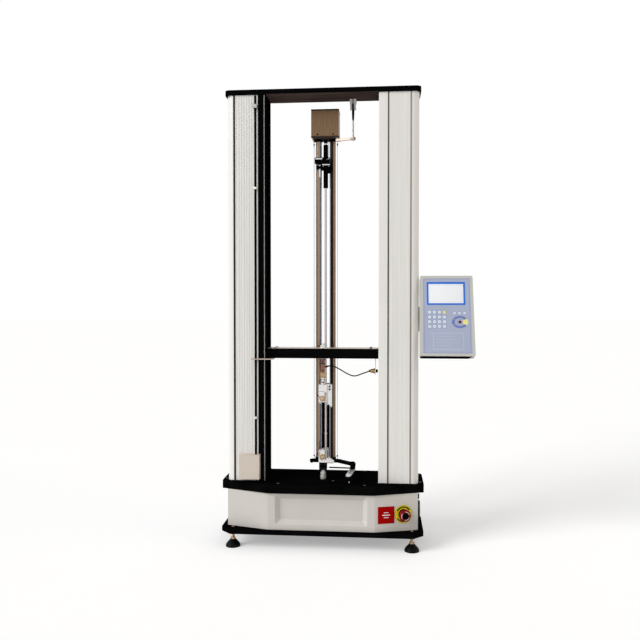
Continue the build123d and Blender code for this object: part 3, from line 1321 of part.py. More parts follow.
def main():
    os.makedirs("parts", exist_ok=True)
    save("bottom_plate", make_bottom_plate())
    save("foot_pads", *[make_foot_pad(x, y) for x, y in foot_places()])
    save("foot_stems", *[make(x, y) for make in (make_foot_stem, make_foot_nut) for x, y in foot_places()])
    save("base_cover", make_base_cover())
    save("base_rear_cover", make_base_rear_cover())
    save("table_plate", make_table_plate())
    cover = make_column_cover()
    save("right_column_cover", cover)
    save("left_column_cover", mirror_x(cover))
    front = make_column_panel()
    rear = mirror(front, about=Plane.XZ)
    save("column_panels", front, mirror_x(front), rear, mirror_x(rear))
    save("column_strip", make_strip())
    save("top_plate", make_top_plate())
    save("guide_posts", *[make_guide_post(side) for side in SIDES])
    save("top_bolts", *[make_top_bolt(side) for side in SIDES])
    bearings = [make(side) for make in (make_lower_bearing, make_upper_bearing) for side in SIDES]
    save("screw_bearings", *bearings)
    for side, name in zip(SIDES, ("left", "right")):
        save(name + "_screw", make_screw(side), make_pulley(side * SCREW_X, 0, PULLEY_RADIUS, JOURNAL_RADIUS))
    save("timing_belt", make_timing_belt())
    save("drive_motor", make_motor())
    save("motor_bracket", make_motor_bracket())
    save("motor_pulley", make_motor_pulley())
    save("upper_bellows", *[make_bellows(side, BEAM_TOP, Z_TOP) for side in SIDES])
    save("lower_bellows", *[make_bellows(side, Z_DECK, BEAM_BOTTOM) for side in SIDES])
    save("crosshead_beam", make_beam())
    save("guide_bushes", *[make_bush(side) for side in SIDES])
    save("ball_nuts", *[make_ball_nut(side) for side in SIDES])
    save("limit_finger", make_finger())
    save("limit_rod", *make_limit_rod())
    save("limit_switch_box", *make_limit_box())
    save("limit_rod_guide", make_rod_guide())
    save("load_cell", make_load_cell())
    save("cell_fittings", *make_cell_fittings())
    save("load_cell_cable", make_cable())
    save("cable_connector", *make_connector())
    save("upper_grip", make_upper_grip())
    save("upper_grip_roller", make_roller(GRIP_BOTTOM + ROLLER_INSET))
    save("lower_grip", make_lower_grip())
    save("lower_grip_roller", make_roller(LOWER_GRIP_TOP - LOWER_ROLLER_DROP))
    save("lower_grip_base", make_grip_base())
    save("lower_adaptor", make_adaptor())
    save("extensometer_box", *make_ext_box())
    save("swing_arm", make_swing_arm())
    heights = (BAR_Z + BAR_THICK, EXT_BASE_Z - TUBE_COLLAR_HIGH)
    collars = [make_tube_collar(side, z) for side in SIDES for z in heights]
    save("guide_tubes", *[make_guide_tube(side) for side in SIDES], *collars)
    save("centre_rod", make_centre_rod(), *[make_guide_wire(side) for side in SIDES])
    save("bottom_bar", make_bottom_bar())
    save("upper_carriage", make_upper_carriage())
    save("lower_carriage", make_lower_carriage())
    save("extensometer_hanger", make_hanger())
    save("pivot_rod", make_pivot_rod(), make_hanger_clamp())
    save("lower_bracket", *make_lower_bracket())
    save("lower_bracket_plate", make_bracket_plate())
    save("console_bracket", *make_console_bracket())
    save("console_link", make_swivel_link())
    save("console_case", make_console_case())
    save("console_panel", make_console_panel())
    save("console_back", *make_console_back())
    save("stop_legend", make_legend())
    save("stop_switch_body", make_stop_body())
    save("stop_button", make_stop_button())
    save("mark_plate", make_mark_plate())
    save("cable_sockets", *make_sockets())


main()
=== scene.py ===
import math

import bmesh
import bpy
from mathutils import Matrix, Vector


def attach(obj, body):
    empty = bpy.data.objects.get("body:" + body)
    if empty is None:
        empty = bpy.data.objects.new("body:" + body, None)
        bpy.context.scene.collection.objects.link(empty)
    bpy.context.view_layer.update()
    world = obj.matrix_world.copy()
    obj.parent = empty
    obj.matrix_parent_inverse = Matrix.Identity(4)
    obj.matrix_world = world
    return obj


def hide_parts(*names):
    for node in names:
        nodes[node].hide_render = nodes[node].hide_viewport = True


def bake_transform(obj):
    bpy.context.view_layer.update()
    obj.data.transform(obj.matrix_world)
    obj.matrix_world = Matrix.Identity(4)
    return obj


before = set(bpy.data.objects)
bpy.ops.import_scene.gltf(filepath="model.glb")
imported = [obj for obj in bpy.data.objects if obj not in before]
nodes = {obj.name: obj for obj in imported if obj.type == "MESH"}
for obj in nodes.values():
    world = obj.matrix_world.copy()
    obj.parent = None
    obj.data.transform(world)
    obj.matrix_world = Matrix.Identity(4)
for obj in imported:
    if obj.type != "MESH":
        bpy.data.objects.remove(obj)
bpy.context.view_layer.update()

# Shapes are in millimetres until Piece.done turns them into metres
MM = 0.001
# Tops of the bottom plate, the table and the columns, then the beam's two faces
Z_BASE, Z_DECK, Z_TOP = 64, 211, 1472
BEAM_LOW, BEAM_HIGH = 615, 647
COLUMN_Z = (Z_DECK, Z_TOP)
SIDES = (-1, 1)
UP, FRONT, BACK, LEFT, RIGHT = (0, 0, 1), (0, -1, 0), (0, 1, 0), (-1, 0, 0), (1, 0, 0)


# Materials: every one takes its detail from the object's own coordinates, in metres
MOTTLE_LOW, MOTTLE_HIGH = 0.3, 0.7
COAT_ROUGHNESS = 0.12
SPECK_COLOUR = (0.52, 0.50, 0.46, 1.0)
SPECK_SCALE = 520


def link(tree, a, b):
    tree.links.new(a, b)


def add(tree, kind, **values):
    """New node with its unlinked inputs or properties set."""
    node = tree.nodes.new(kind)
    for key, value in values.items():
        if hasattr(node, key):
            setattr(node, key, value)
        else:
            node.inputs[key.replace("_", " ")].default_value = value
    return node


def empty_tree(owner):
    """Node tree of a material or a world, with nothing in it."""
    owner.use_nodes = True
    owner.node_tree.nodes.clear()
    return owner.node_tree


def shade(colour, factor):
    return tuple(min(1.0, c * factor) for c in colour) + (1.0,)


def blend_to(tree, amount, tint, colour):
    """Goes from a linked tint to a fixed colour: inputs 0, 6 and 7 are the factor and the two colours."""
    mix = add(tree, "ShaderNodeMix", data_type="RGBA")
    mix.inputs[7].default_value = colour
    link(tree, amount, mix.inputs[0])
    link(tree, tint, mix.inputs[6])
    return mix.outputs[2]


def worn_edges(tree, normal):
    """Mask that is above 0 where the rounded normal leaves the face's own, so at the edges."""
    own = add(tree, "ShaderNodeNewGeometry")
    dot = add(tree, "ShaderNodeVectorMath", operation="DOT_PRODUCT")
    link(tree, normal, dot.inputs[0])
    link(tree, own.outputs["Normal"], dot.inputs[1])
    mask = add(tree, "ShaderNodeMapRange", From_Min=0.995, From_Max=0.85, To_Max=0.5)
    link(tree, dot.outputs["Value"], mask.inputs["Value"])
    return mask.outputs["Result"]


def surface(name, colour, rough, metal=0.0, vary=0.05, mottle=9.0, stretch=(1, 1, 1), grain=900.0, bump=0.08,
            depth=0.0003, rough_vary=0.08, edge=0.0006, wear=1.12, coat=0.0, speck=0.0, gloss=0.5):
    """Principled material with mottled colour, grain in the bump, uneven roughness and worn edges."""
    material = bpy.data.materials.new(name)
    tree = empty_tree(material)
    out = add(tree, "ShaderNodeOutputMaterial")
    shader = add(tree, "ShaderNodeBsdfPrincipled", Metallic=metal, Specular_IOR_Level=gloss)
    link(tree, shader.outputs["BSDF"], out.inputs["Surface"])
    if coat:
        shader.inputs["Coat Weight"].default_value = coat
        shader.inputs["Coat Roughness"].default_value = COAT_ROUGHNESS
    where = add(tree, "ShaderNodeTexCoord")
    mapping = add(tree, "ShaderNodeMapping", Scale=stretch)
    link(tree, where.outputs["Object"], mapping.inputs["Vector"])
    big = add(tree, "ShaderNodeTexNoise", Scale=mottle, Detail=6.0, Roughness=0.62)
    fine = add(tree, "ShaderNodeTexNoise", Scale=grain, Detail=3.0, Roughness=0.55)
    link(tree, mapping.outputs["Vector"], big.inputs["Vector"])
    link(tree, mapping.outputs["Vector"], fine.inputs["Vector"])
    ramp = add(tree, "ShaderNodeValToRGB")
    for stop, place, factor in zip(ramp.color_ramp.elements, (MOTTLE_LOW, MOTTLE_HIGH), (1 - vary, 1 + vary)):
        stop.position = place
        stop.color = shade(colour, factor)
    link(tree, big.outputs["Fac"], ramp.inputs["Fac"])
    tint = ramp.outputs["Color"]
    if speck:
        dots = add(tree, "ShaderNodeTexVoronoi", Scale=SPECK_SCALE)
        link(tree, where.outputs["Object"], dots.inputs["Vector"])
        mask = add(tree, "ShaderNodeMapRange", From_Min=0.16, From_Max=0.1, To_Max=speck)
        link(tree, dots.outputs["Distance"], mask.inputs["Value"])
        tint = blend_to(tree, mask.outputs["Result"], tint, SPECK_COLOUR)
    height = add(tree, "ShaderNodeBump", Strength=bump, Distance=depth)
    link(tree, fine.outputs["Fac"], height.inputs["Height"])
    if edge:
        bevel = add(tree, "ShaderNodeBevel", samples=3, Radius=edge)
        link(tree, bevel.outputs["Normal"], height.inputs["Normal"])
        tint = blend_to(tree, worn_edges(tree, bevel.outputs["Normal"]), tint, shade(colour, wear))
    link(tree, tint, shader.inputs["Base Color"])
    link(tree, height.outputs["Normal"], shader.inputs["Normal"])
    spread = add(tree, "ShaderNodeMapRange", From_Min=MOTTLE_LOW, From_Max=MOTTLE_HIGH,
                 To_Min=max(0.03, rough - rough_vary), To_Max=min(1.0, rough + rough_vary))
    link(tree, big.outputs["Fac"], spread.inputs["Value"])
    link(tree, spread.outputs["Result"], shader.inputs["Roughness"])
    return material


BLACK = (0.003, 0.003, 0.0035)
# Settings shared by the painted reflections on the guide tubes
PAINTED_REFLECTION = dict(mottle=70, stretch=(1, 1, 0.02), grain=600, bump=0.03, edge=0)
PRINT = dict(grain=1800, bump=0.06, edge=0)
MEMBRANE = dict(grain=2400, bump=0.1)
# Settings shared by the painted shade in the columns' grooves
GROOVE_SHADE = dict(grain=800, bump=0.2, vary=0.3, edge=0)
MATERIALS = {
    "column": surface("column_enamel", (0.87, 0.85, 0.815), 0.42, grain=1400, bump=0.05, vary=0.02, wear=1.05,
                      coat=0.1),
    "cover": surface("cover_enamel", (0.645, 0.612, 0.572), 0.5, grain=1700, bump=0.16, vary=0.03, wear=1.08,
                     speck=0.18),
    "black": surface("black_enamel", BLACK, 0.46, grain=1500, bump=0.35, vary=0.3, wear=5.0, depth=0.0004,
                     gloss=0.0),
    "table": surface("table_enamel", (0.0032, 0.003, 0.003), 0.34, mottle=20, stretch=(0.3, 4, 1), grain=420,
                     bump=0.2, vary=0.6, wear=5.0, rough_vary=0.12, gloss=0.0),
    # Underside tone painted for the light there: painted shade under the extensometer box, painted light
    # under the black top plate
    "under": surface("underside_painted_light_and_shade", (0.075, 0.052, 0.046), 0.4, mottle=12, stretch=(0.4, 3, 1), grain=600,
                     bump=0.15, vary=0.4, wear=2.0, gloss=0.0),
    "ribbed": surface("ribbed_panel", (0.87, 0.855, 0.82), 0.38, mottle=7, stretch=(22, 22, 0.4), grain=60,
                      bump=0.05, vary=0.05, edge=0.0003, coat=0.1),
    "cream": surface("box_enamel", (0.67, 0.595, 0.51), 0.42, grain=1200, bump=0.12, vary=0.03, coat=0.15),
    "plastic": surface("black_plastic", BLACK, 0.4, grain=2200, bump=0.25, vary=0.25, wear=4.0, gloss=0.0),
    "rubber": surface("rubber", (0.0035, 0.0035, 0.004), 0.62, grain=1100, bump=0.3, vary=0.25, wear=3.0,
                      gloss=0.0),
    "pad": surface("pad_rubber", (0.003, 0.003, 0.003), 0.34, grain=1300, bump=0.15, vary=0.3, wear=2.5,
                   gloss=0.06),
    "belt": surface("belt_rubber", (0.02, 0.02, 0.02), 0.8, grain=700, bump=0.4, vary=0.2),
    "zinc": surface("zinc_plate", (0.60, 0.50, 0.37), 0.3, metal=0.95, mottle=60, vary=0.2, bump=0.12),
    "dark_steel": surface("blackened_steel", (0.03, 0.03, 0.033), 0.3, metal=0.6, mottle=40,
                          stretch=(1, 1, 0.2), vary=0.3, bump=0.1, wear=3.0, gloss=0.3),
    "ground": surface("ground_steel", (0.60, 0.58, 0.57), 0.16, metal=1.0, mottle=30, stretch=(1, 1, 0.05),
                      grain=500, vary=0.1, bump=0.03, rough_vary=0.05, edge=0),
    "tube": surface("tube_steel", (0.55, 0.52, 0.55), 0.26, metal=0.8, mottle=60, stretch=(1.2, 1.2, 0.012),
                    grain=600, vary=0.12, bump=0.03, edge=0),
    # Painted reflections on the guide tubes: tan, dark, light and blue stripes that stand for the
    # surroundings mirrored in the metal
    "painted_reflection_tan": surface("tube_painted_reflection_tan", (0.33, 0.22, 0.14), 0.26, metal=0.75, vary=0.2, **PAINTED_REFLECTION),
    "painted_reflection_dark": surface("tube_painted_reflection_dark", (0.020, 0.015, 0.012), 0.3, vary=0.4, gloss=0.05, **PAINTED_REFLECTION),
    "painted_reflection_light": surface("tube_painted_reflection_light", (0.74, 0.71, 0.76), 0.26, metal=0.4, vary=0.06, **PAINTED_REFLECTION),
    "painted_reflection_blue": surface("tube_painted_reflection_blue", (0.045, 0.05, 0.085), 0.28, metal=0.5, vary=0.2, **PAINTED_REFLECTION),
    "steel": surface("machined_steel", (0.46, 0.44, 0.42), 0.32, metal=1.0, mottle=40, stretch=(1, 12, 1),
                     grain=700, vary=0.15, bump=0.15),
    "bronze": surface("machined_bronze", (0.46, 0.30, 0.12), 0.28, metal=1.0, mottle=60, grain=600, vary=0.2,
                      bump=0.1),
    "sheet": surface("brushed_sheet", (0.20, 0.125, 0.07), 0.36, metal=0.9, mottle=30, stretch=(34, 34, 0.7),
                     grain=70, vary=0.35, bump=0.14, rough_vary=0.1, edge=0.0004, wear=1.4),
    "nickel": surface("satin_nickel", (0.80, 0.78, 0.76), 0.3, metal=0.55, mottle=70, grain=1500, bump=0.1),
    "roller": surface("roller_steel", (0.46, 0.32, 0.20), 0.34, metal=1.0, mottle=90, grain=1600, vary=0.25,
                      bump=0.3),
    "cell": surface("cell_metal", (0.24, 0.10, 0.07), 0.28, metal=0.85, mottle=60, grain=1500, vary=0.15),
    "sheath": surface("cable_sheath", BLACK, 0.5, grain=1600, bump=0.2, vary=0.2, edge=0, gloss=0.05),
    "case": surface("console_case", (0.56, 0.56, 0.52), 0.5, grain=2400, bump=0.28, vary=0.03, depth=0.0002),
    "overlay": surface("membrane_overlay", (0.405, 0.45, 0.59), 0.44, mottle=14, grain=2600, bump=0.12,
                       vary=0.035, edge=0.0003),
    "lcd_frame": surface("lcd_frame", (0.0, 0.15, 0.66), 0.4, vary=0.06, edge=0.0003, **MEMBRANE),
    "screen": surface("lcd_glass", (0.93, 0.95, 0.98), 0.14, grain=300, bump=0.01, vary=0.015, edge=0,
                      coat=0.5),
    "key": surface("key_print", (0.72, 0.78, 0.88), 0.42, vary=0.03, edge=0.0003, **MEMBRANE),
    "key_edge": surface("key_outline", (0.15, 0.20, 0.46), 0.45, vary=0.05, edge=0, **MEMBRANE),
    "key_yellow": surface("key_yellow", (0.86, 0.80, 0.30), 0.42, vary=0.04, edge=0, **MEMBRANE),
    "red": surface("red_plastic", (0.20, 0.002, 0.004), 0.3, grain=1500, bump=0.04, vary=0.08, edge=0.0005,
                   wear=1.3, gloss=0.12),
    "red_plate": surface("red_plate", (0.38, 0.001, 0.001), 0.42, grain=1800, bump=0.1, vary=0.06, wear=1.3,
                         gloss=0.02),
    "yellow": surface("yellow_plate", (0.86, 0.70, 0.0), 0.42, grain=1800, bump=0.1, vary=0.04, wear=1.1),
    "white_print": surface("white_print", (0.86, 0.86, 0.86), 0.45, vary=0.03, **PRINT),
    "pale_print": surface("pale_print", (0.62, 0.66, 0.82), 0.45, vary=0.04, **PRINT),
    # Painted shade in the columns' grooves: near black on the left column, brown on the right one
    "groove_shade_dark": surface("groove_shadow", (0.010, 0.009, 0.009), 0.7, gloss=0.2, **GROOVE_SHADE),
    "groove_shade_brown": surface("painted_groove_shade_brown", (0.30, 0.25, 0.22), 0.6, mottle=4, stretch=(1, 1, 0.5), gloss=0.3,
                         **GROOVE_SHADE),
    "groove_shade_warm": surface("painted_groove_shade_warm", (0.10, 0.078, 0.064), 0.65, mottle=4, gloss=0.1, **GROOVE_SHADE),
    "tan_edge": surface("tan_edge", (0.55, 0.46, 0.38), 0.36, metal=0.5, mottle=40, stretch=(0.2, 1, 1),
                        vary=0.15, bump=0.1),
}
NODE_MATERIAL = {
    "bottom_plate": "black", "foot_pads": "pad", "foot_stems": "roller", "base_cover": "cover",
    "base_rear_cover": "cover", "table_plate": "table", "right_column_cover": "column",
    "left_column_cover": "column", "column_panels": "ribbed", "column_strip": "plastic", "top_plate": "black",
    "guide_posts": "ground", "top_bolts": "zinc", "screw_bearings": "steel", "left_screw": "ground",
    "right_screw": "ground", "timing_belt": "belt", "drive_motor": "black", "motor_bracket": "steel",
    "motor_pulley": "steel", "crosshead_beam": "black", "guide_bushes": "bronze", "ball_nuts": "steel",
    "limit_finger": "tan_edge", "limit_rod": "black", "limit_switch_box": "cream", "limit_rod_guide": "steel",
    "load_cell": "cell", "cell_fittings": "steel", "cable_connector": "nickel", "upper_grip": "nickel",
    "upper_grip_roller": "roller", "lower_grip": "nickel", "lower_grip_roller": "roller",
    "lower_grip_base": "black", "lower_adaptor": "nickel", "extensometer_box": "sheet",
    "swing_arm": "tan_edge",
    "guide_tubes": "tube", "centre_rod": "ground", "bottom_bar": "black", "upper_carriage": "plastic",
    "lower_carriage": "plastic", "extensometer_hanger": "column", "pivot_rod": "steel",
    "lower_bracket": "black", "lower_bracket_plate": "nickel", "console_bracket": "steel",
    "console_link": "steel", "console_case": "case", "console_panel": "overlay", "console_back": "case",
    "stop_legend": "yellow", "stop_switch_body": "plastic", "stop_button": "red", "mark_plate": "red_plate",
    "cable_sockets": "plastic", "upper_bellows": "rubber", "lower_bellows": "rubber",
    "load_cell_cable": "sheath",
}
for name, material_name in NODE_MATERIAL.items():
    if not nodes[name].material_slots:
        nodes[name].data.materials.append(MATERIALS[material_name])
    for slot in nodes[name].material_slots:
        slot.material = MATERIALS[material_name]


# Pieces: each gathers shapes of one material, and rides on one body or on none
def turn_to(axis):
    """Rotation that takes the z axis to the given one."""
    return Vector(UP).rotation_difference(Vector(axis).normalized()).to_matrix().to_4x4()


def socket(i, level):
    """Factor on a cap head's radius, round outside and six-sided in its socket, from the sixth point on."""
    return 1.0 if level < 5 else 1.0 / math.cos((i % 6 - 2.5) * math.pi / 30)


def knurl(i, level):
    """Factor on the radius of a knurled nut or knob."""
    return 1.03 if i % 2 else 1.0


def wheel(i, level):
    """Factor on the radius of a grip roller's face."""
    return 1.035 if i % 2 else 0.99


class Piece:
    """Shapes of one material that become one object."""

    def __init__(self, name, body, material, place=Matrix.Identity(4)):
        self.name, self.body, self.material, self.place = name, body, material, place
        self.bm = bmesh.new()

    def merge(self, part):
        """Takes in a finished shape, with its faces turned outward."""
        bmesh.ops.recalc_face_normals(part, faces=list(part.faces))
        part.transform(self.place)
        scratch = bpy.data.meshes.new("scratch")
        part.to_mesh(scratch)
        part.free()
        self.bm.from_mesh(scratch)
        bpy.data.meshes.remove(scratch)

    def solid(self, points, faces):
        """Closed shape from its points and the numbers of each face's corners."""
        part = bmesh.new()
        made = [part.verts.new(p) for p in points]
        for face in faces:
            part.faces.new([made[i] for i in face])
        self.merge(part)

    def prism(self, points):
        """Solid between two outlines of four points each, given one after the other."""
        self.solid(points, [(3, 2, 1, 0), (4, 5, 6, 7), (0, 1, 5, 4), (1, 2, 6, 5), (2, 3, 7, 6),
                            (3, 0, 4, 7)])

    def block(self, low, high, round_by):
        """Box between two corners, with its edges rounded."""
        low, high = Vector(low), Vector(high)
        part = bmesh.new()
        place = Matrix.Translation((low + high) / 2) @ Matrix.Diagonal((high - low).to_4d())
        bmesh.ops.create_cube(part, size=1.0, matrix=place)
        bmesh.ops.bevel(part, geom=list(part.edges), offset=round_by, segments=3, affect="EDGES", profile=0.5)
        self.merge(part)

    def side_block(self, side, x_range, y_range, z_range, round_by):
        """Block on the left or right, with its x range measured from the middle."""
        x0, x1 = sorted(side * x for x in x_range)
        self.block((x0, y_range[0], z_range[0]), (x1, y_range[1], z_range[1]), round_by)

    def skin(self, part, rows, closed):
        """Joins rows of points into a solid, with a lid on both ends unless the last row meets the first."""
        count = len(rows[0])
        for a, b in zip(rows, rows[1:] + rows[:1] if closed else rows[1:]):
            for i in range(count):
                j = (i + 1) % count
                part.faces.new((a[i], a[j], b[j], b[i]))
        if not closed:
            part.faces.new(list(reversed(rows[0])))
            part.faces.new(rows[-1])
        self.merge(part)

    def turned(self, profile, at, axis, segments, twist=None):
        """Solid of revolution from (radius, height) points, flat at both ends."""
        move = Matrix.Translation(at) @ turn_to(axis)
        part = bmesh.new()
        rows = []
        for level, (radius, height) in enumerate(profile):
            row = []
            for i in range(segments):
                angle = 2 * math.pi * i / segments
                r = radius * (twist(i, level) if twist else 1.0)
                row.append(part.verts.new(move @ Vector((r * math.cos(angle), r * math.sin(angle), height))))
            rows.append(row)
        self.skin(part, rows, False)

    def rod(self, radius, length, at, axis, segments):
        """Plain round bar from one end along an axis."""
        self.turned([(0.3, 0), (radius, 0), (radius, length), (0.3, length)], at, axis, segments)

    def screw(self, at, axis, radius, head):
        """Cap head with a hexagon socket."""
        points = [(0.55, 0), (0.98, 0), (1, 0.12), (1, 0.78), (0.9, 1), (0.52, 1), (0.5, 0.45), (0.05, 0.4)]
        self.turned([(radius * r, head * h) for r, h in points], at, axis, 36, socket)

    def ring(self, inner, outer, thick, at, axis, segments, squash=1.0, start=0.0, stop=360.0, soft=0.25):
        """Flat ring or arc of a ring about an axis, with the corners of its top cut."""
        move = Matrix.Translation(at) @ turn_to(axis)
        closed = stop - start >= 359.9
        mid, half, top = (inner + outer) / 2, (outer - inner) / 2, thick / 2
        section = [(-half, -top), (-half, top - soft * thick), (-half * (1 - soft), top),
                   (half * (1 - soft), top), (half, top - soft * thick), (half, -top)]
        part = bmesh.new()
        rows = []
        for i in range(segments if closed else segments + 1):
            angle = math.radians(start + (stop - start) * i / segments)
            across, along = math.cos(angle), math.sin(angle) * squash
            rows.append([part.verts.new(move @ Vector(((mid + u) * across, (mid + u) * along, w)))
                         for u, w in section])
        self.skin(part, rows, closed)

    def done(self, angle=35.0):
        """Makes the object in metres, smooth up to the angle, and puts it on its body where it has one."""
        self.bm.transform(Matrix.Scale(MM, 4))
        mesh = bpy.data.meshes.new(self.name)
        self.bm.to_mesh(mesh)
        self.bm.free()
        mesh.materials.append(MATERIALS[self.material])
        for face in mesh.polygons:
            face.use_smooth = True
        obj = bpy.data.objects.new(self.name, mesh)
        bpy.context.scene.collection.objects.link(obj)
        mesh.set_sharp_from_angle(angle=math.radians(angle))
        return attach(obj, self.body) if self.body else obj


# Load cell cable, from the boot on the cell to the plug
CABLE = [(11.4, 0, 585), (27, -1, 590), (51, -5, 580), (79, -8, 563), (104, -8, 553), (131, -4, 564),
         (157, 0, 572)]
CABLE_RADIUS = 2.0


def make_cable():
    curve = bpy.data.curves.new("cell_cable", "CURVE")
    curve.dimensions = "3D"
    curve.bevel_depth = CABLE_RADIUS * MM
    curve.bevel_resolution = 6
    curve.resolution_u = 24
    spline = curve.splines.new("NURBS")
    spline.points.add(len(CABLE) - 1)
    for point, (x, y, z) in zip(spline.points, CABLE):
        point.co = (x * MM, y * MM, z * MM, 1.0)
    spline.order_u = 3
    spline.use_endpoint_u = True
    curve.materials.append(MATERIALS["sheath"])
    cable = bpy.data.objects.new("cell_cable", curve)
    bpy.context.scene.collection.objects.link(cable)
    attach(cable, "crosshead")
    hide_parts("load_cell_cable")
    boot = Piece("cable_boot", "crosshead", "sheath")
    boot.turned([(0.4, -1.5), (3.3, -1.5), (3.4, 0), (3.0, 2), (2.7, 4.5), (2.35, 8), (2.05, 9)], CABLE[0],
                Vector(CABLE[1]) - Vector(CABLE[0]), 24)
    boot = boot.done()


make_cable()

# Bellows in the column slots
PLEAT, PLEAT_STEPS = 14, 8
BELLOWS_NEAR, BELLOWS_DEEP, BELLOWS_SKIN = 187.5, 5.8, 0.9
# Across the strip: distance from its middle, and how far the raised side edge lies behind
BELLOWS_EDGE = ((-40.8, 1.2), (-39.8, 0.3), (-36, 0), (0, 0), (36, 0), (39.8, 0.3), (40.8, 1.2))


def make_bellows(name, side, z0, z1):
    """Strip of rounded pleats with one thickness all over."""
    folds = round((z1 - z0) / PLEAT)
    pitch = (z1 - z0) / folds
    line = []
    for k in range(folds * PLEAT_STEPS + 1):
        wave = 0.5 + 0.5 * math.cos(2 * math.pi * (k % PLEAT_STEPS) / PLEAT_STEPS)
        line.append((BELLOWS_NEAR + BELLOWS_DEEP * wave ** 0.8, z0 + k * pitch / PLEAT_STEPS))
    points = [(side * (x + lift + skin), y, z) for skin in (0, BELLOWS_SKIN) for x, z in line
              for y, lift in BELLOWS_EDGE]
    rows, n = len(line), len(BELLOWS_EDGE)
    back = rows * n
    faces = [(a, a + 1, a + n + 1, a + n) for layer in (0, back) for i in range(rows - 1)
             for a in range(layer + i * n, layer + i * n + n - 1)]
    faces += [(a, a + n, a + n + back, a + back) for i in range(rows - 1) for a in (i * n, i * n + n - 1)]
    faces += [(a, a + 1, a + 1 + back, a + back) for i in (0, rows - 1) for a in range(i * n, i * n + n - 1)]
    piece = Piece(name, None, "rubber")
    piece.solid(points, faces)
    return piece.done(60)


for level, z_fixed, z_moving in (("upper", Z_TOP, BEAM_HIGH), ("lower", Z_DECK, BEAM_LOW)):
    for side, label in zip(SIDES, ("left", "right")):
        strip = make_bellows(level + "_bellows_" + label, side, *sorted((z_fixed, z_moving)))
        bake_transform(strip)
        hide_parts(level + "_bellows")

# Console: screen, keys and printed rings on the membrane, in the console's own frame
TILT = Matrix.Translation((399, -22, 743)) @ Matrix.Rotation(math.radians(-15), 4, "X")
FACE = -53.0
KEY_STEP = 15.5
DOME = [(0.1, 0), (5.6, 0), (5.7, 0.25), (5.3, 0.7), (4.0, 0.95), (0.4, 1.05)]
JOG = (40, -21.2)
JOG_SQUASH = 0.78


def on_face(x, z, proud=0.0):
    return Vector((x, FACE - proud, z))


def flat(piece, x0, x1, z0, z1, thick, round_by, base=0.0):
    """Raised plate on the console's face, between two corners."""
    piece.block((x0, FACE - base - thick, z0), (x1, FACE - base, z1), round_by)


def frame_bars(piece, x0, x1, z0, z1, width, thick, round_by, base=0.0):
    """Four bars along the inside of a rectangle on the console's face."""
    for bar in ((x0, x1, z1 - width, z1), (x0, x1, z0, z0 + width), (x0, x0 + width, z0, z1),
                (x1 - width, x1, z0, z1)):
        flat(piece, *bar, thick, round_by, base)


bezel = Piece("lcd_bezel", "console", "lcd_frame", TILT)
for x0, x1, z0, z1 in ((-62.5, 57.8, 103.5, 110), (-62.5, 57.8, 34.7, 39.9), (-62.5, -57, 39.9, 103.5),
                       (52.6, 57.8, 39.9, 103.5)):
    flat(bezel, x0, x1, z0, z1, 0.9, 0.25)
bezel.done()
screen = Piece("lcd_screen", "console", "screen", TILT)
flat(screen, -57, 52.6, 39.9, 103.5, 0.5, 0.15)
screen.done()
inner_line = Piece("lcd_inner_line", "console", "pale_print", TILT)
frame_bars(inner_line, -53, 48.6, 43.8, 99.6, 0.5, 0.15, 0.05, 0.5)
inner_line.done()

keys = Piece("keypad_keys", "console", "key", TILT)
rims = Piece("keypad_rims", "console", "key_edge", TILT)
yellow_key = Piece("key_yellow", "console", "key_yellow", TILT)
key_marks = Piece("key_marks", "console", "key_edge", TILT)


def add_key(piece, x, z, scale=1.0):
    """Domed key with its rim."""
    piece.turned([(r * scale, h) for r, h in DOME], on_face(x, z), FRONT, 28)
    rims.ring(5.9 * scale, 6.7 * scale, 0.3, on_face(x, z, 0.1), FRONT, 32)


for row in range(4):
    for column in range(4):
        x, z = -54.4 + KEY_STEP * column, 10.3 - KEY_STEP * row
        add_key(yellow_key if (row, column) == (0, 3) else keys, x, z)
        flat(key_marks, x - 1.5, x + 1.5, z - 0.5, z + 0.5, 0.15, 0.05, 1.0)
for x in (24, 39.5, 55):
    add_key(keys, x, 7.1, 0.8)
    flat(key_marks, x - 1.2, x + 1.2, 6.7, 7.5, 0.15, 0.05, 1.0)
key_marks.done()
jog_ring = on_face(*JOG, 0.1)
blue_arcs = Piece("jog_ring_blue", "console", "key_edge", TILT)
for start, stop in ((35, 145), (150, 210), (215, 325)):
    blue_arcs.ring(16.5, 25.5, 0.5, jog_ring, FRONT, 24, JOG_SQUASH, start, stop)
blue_arcs.done()
yellow_arc = Piece("jog_ring_yellow", "console", "key_yellow", TILT)
yellow_arc.ring(9.5, 25.5, 0.5, jog_ring, FRONT, 24, JOG_SQUASH, -33, 33)
yellow_arc.done()
centre_key = Piece("jog_centre", "console", "red", TILT)
centre_key.turned([(r * 0.8, h) for r, h in DOME], on_face(*JOG), FRONT, 32)
centre_key.done()
rims.ring(7.4, 8.3, 0.3, jog_ring, FRONT, 40)
keys.done()
yellow_key.done()
panel_rules = Piece("panel_rules", "console", "pale_print", TILT)
frame_bars(panel_rules, -44.5, 50.5, -110, -57, 1, 0.2, 0.05)
for x1, z in ((30, -68), (22, -78), (36, -88), (14, -98)):
    flat(panel_rules, -38, x1, z, z + 0.6, 0.2, 0.05)
panel_rules.done()
frame_bars(rims, -72, 72, -121, 120.8, 0.8, 0.12, 0.03)
rims.done()

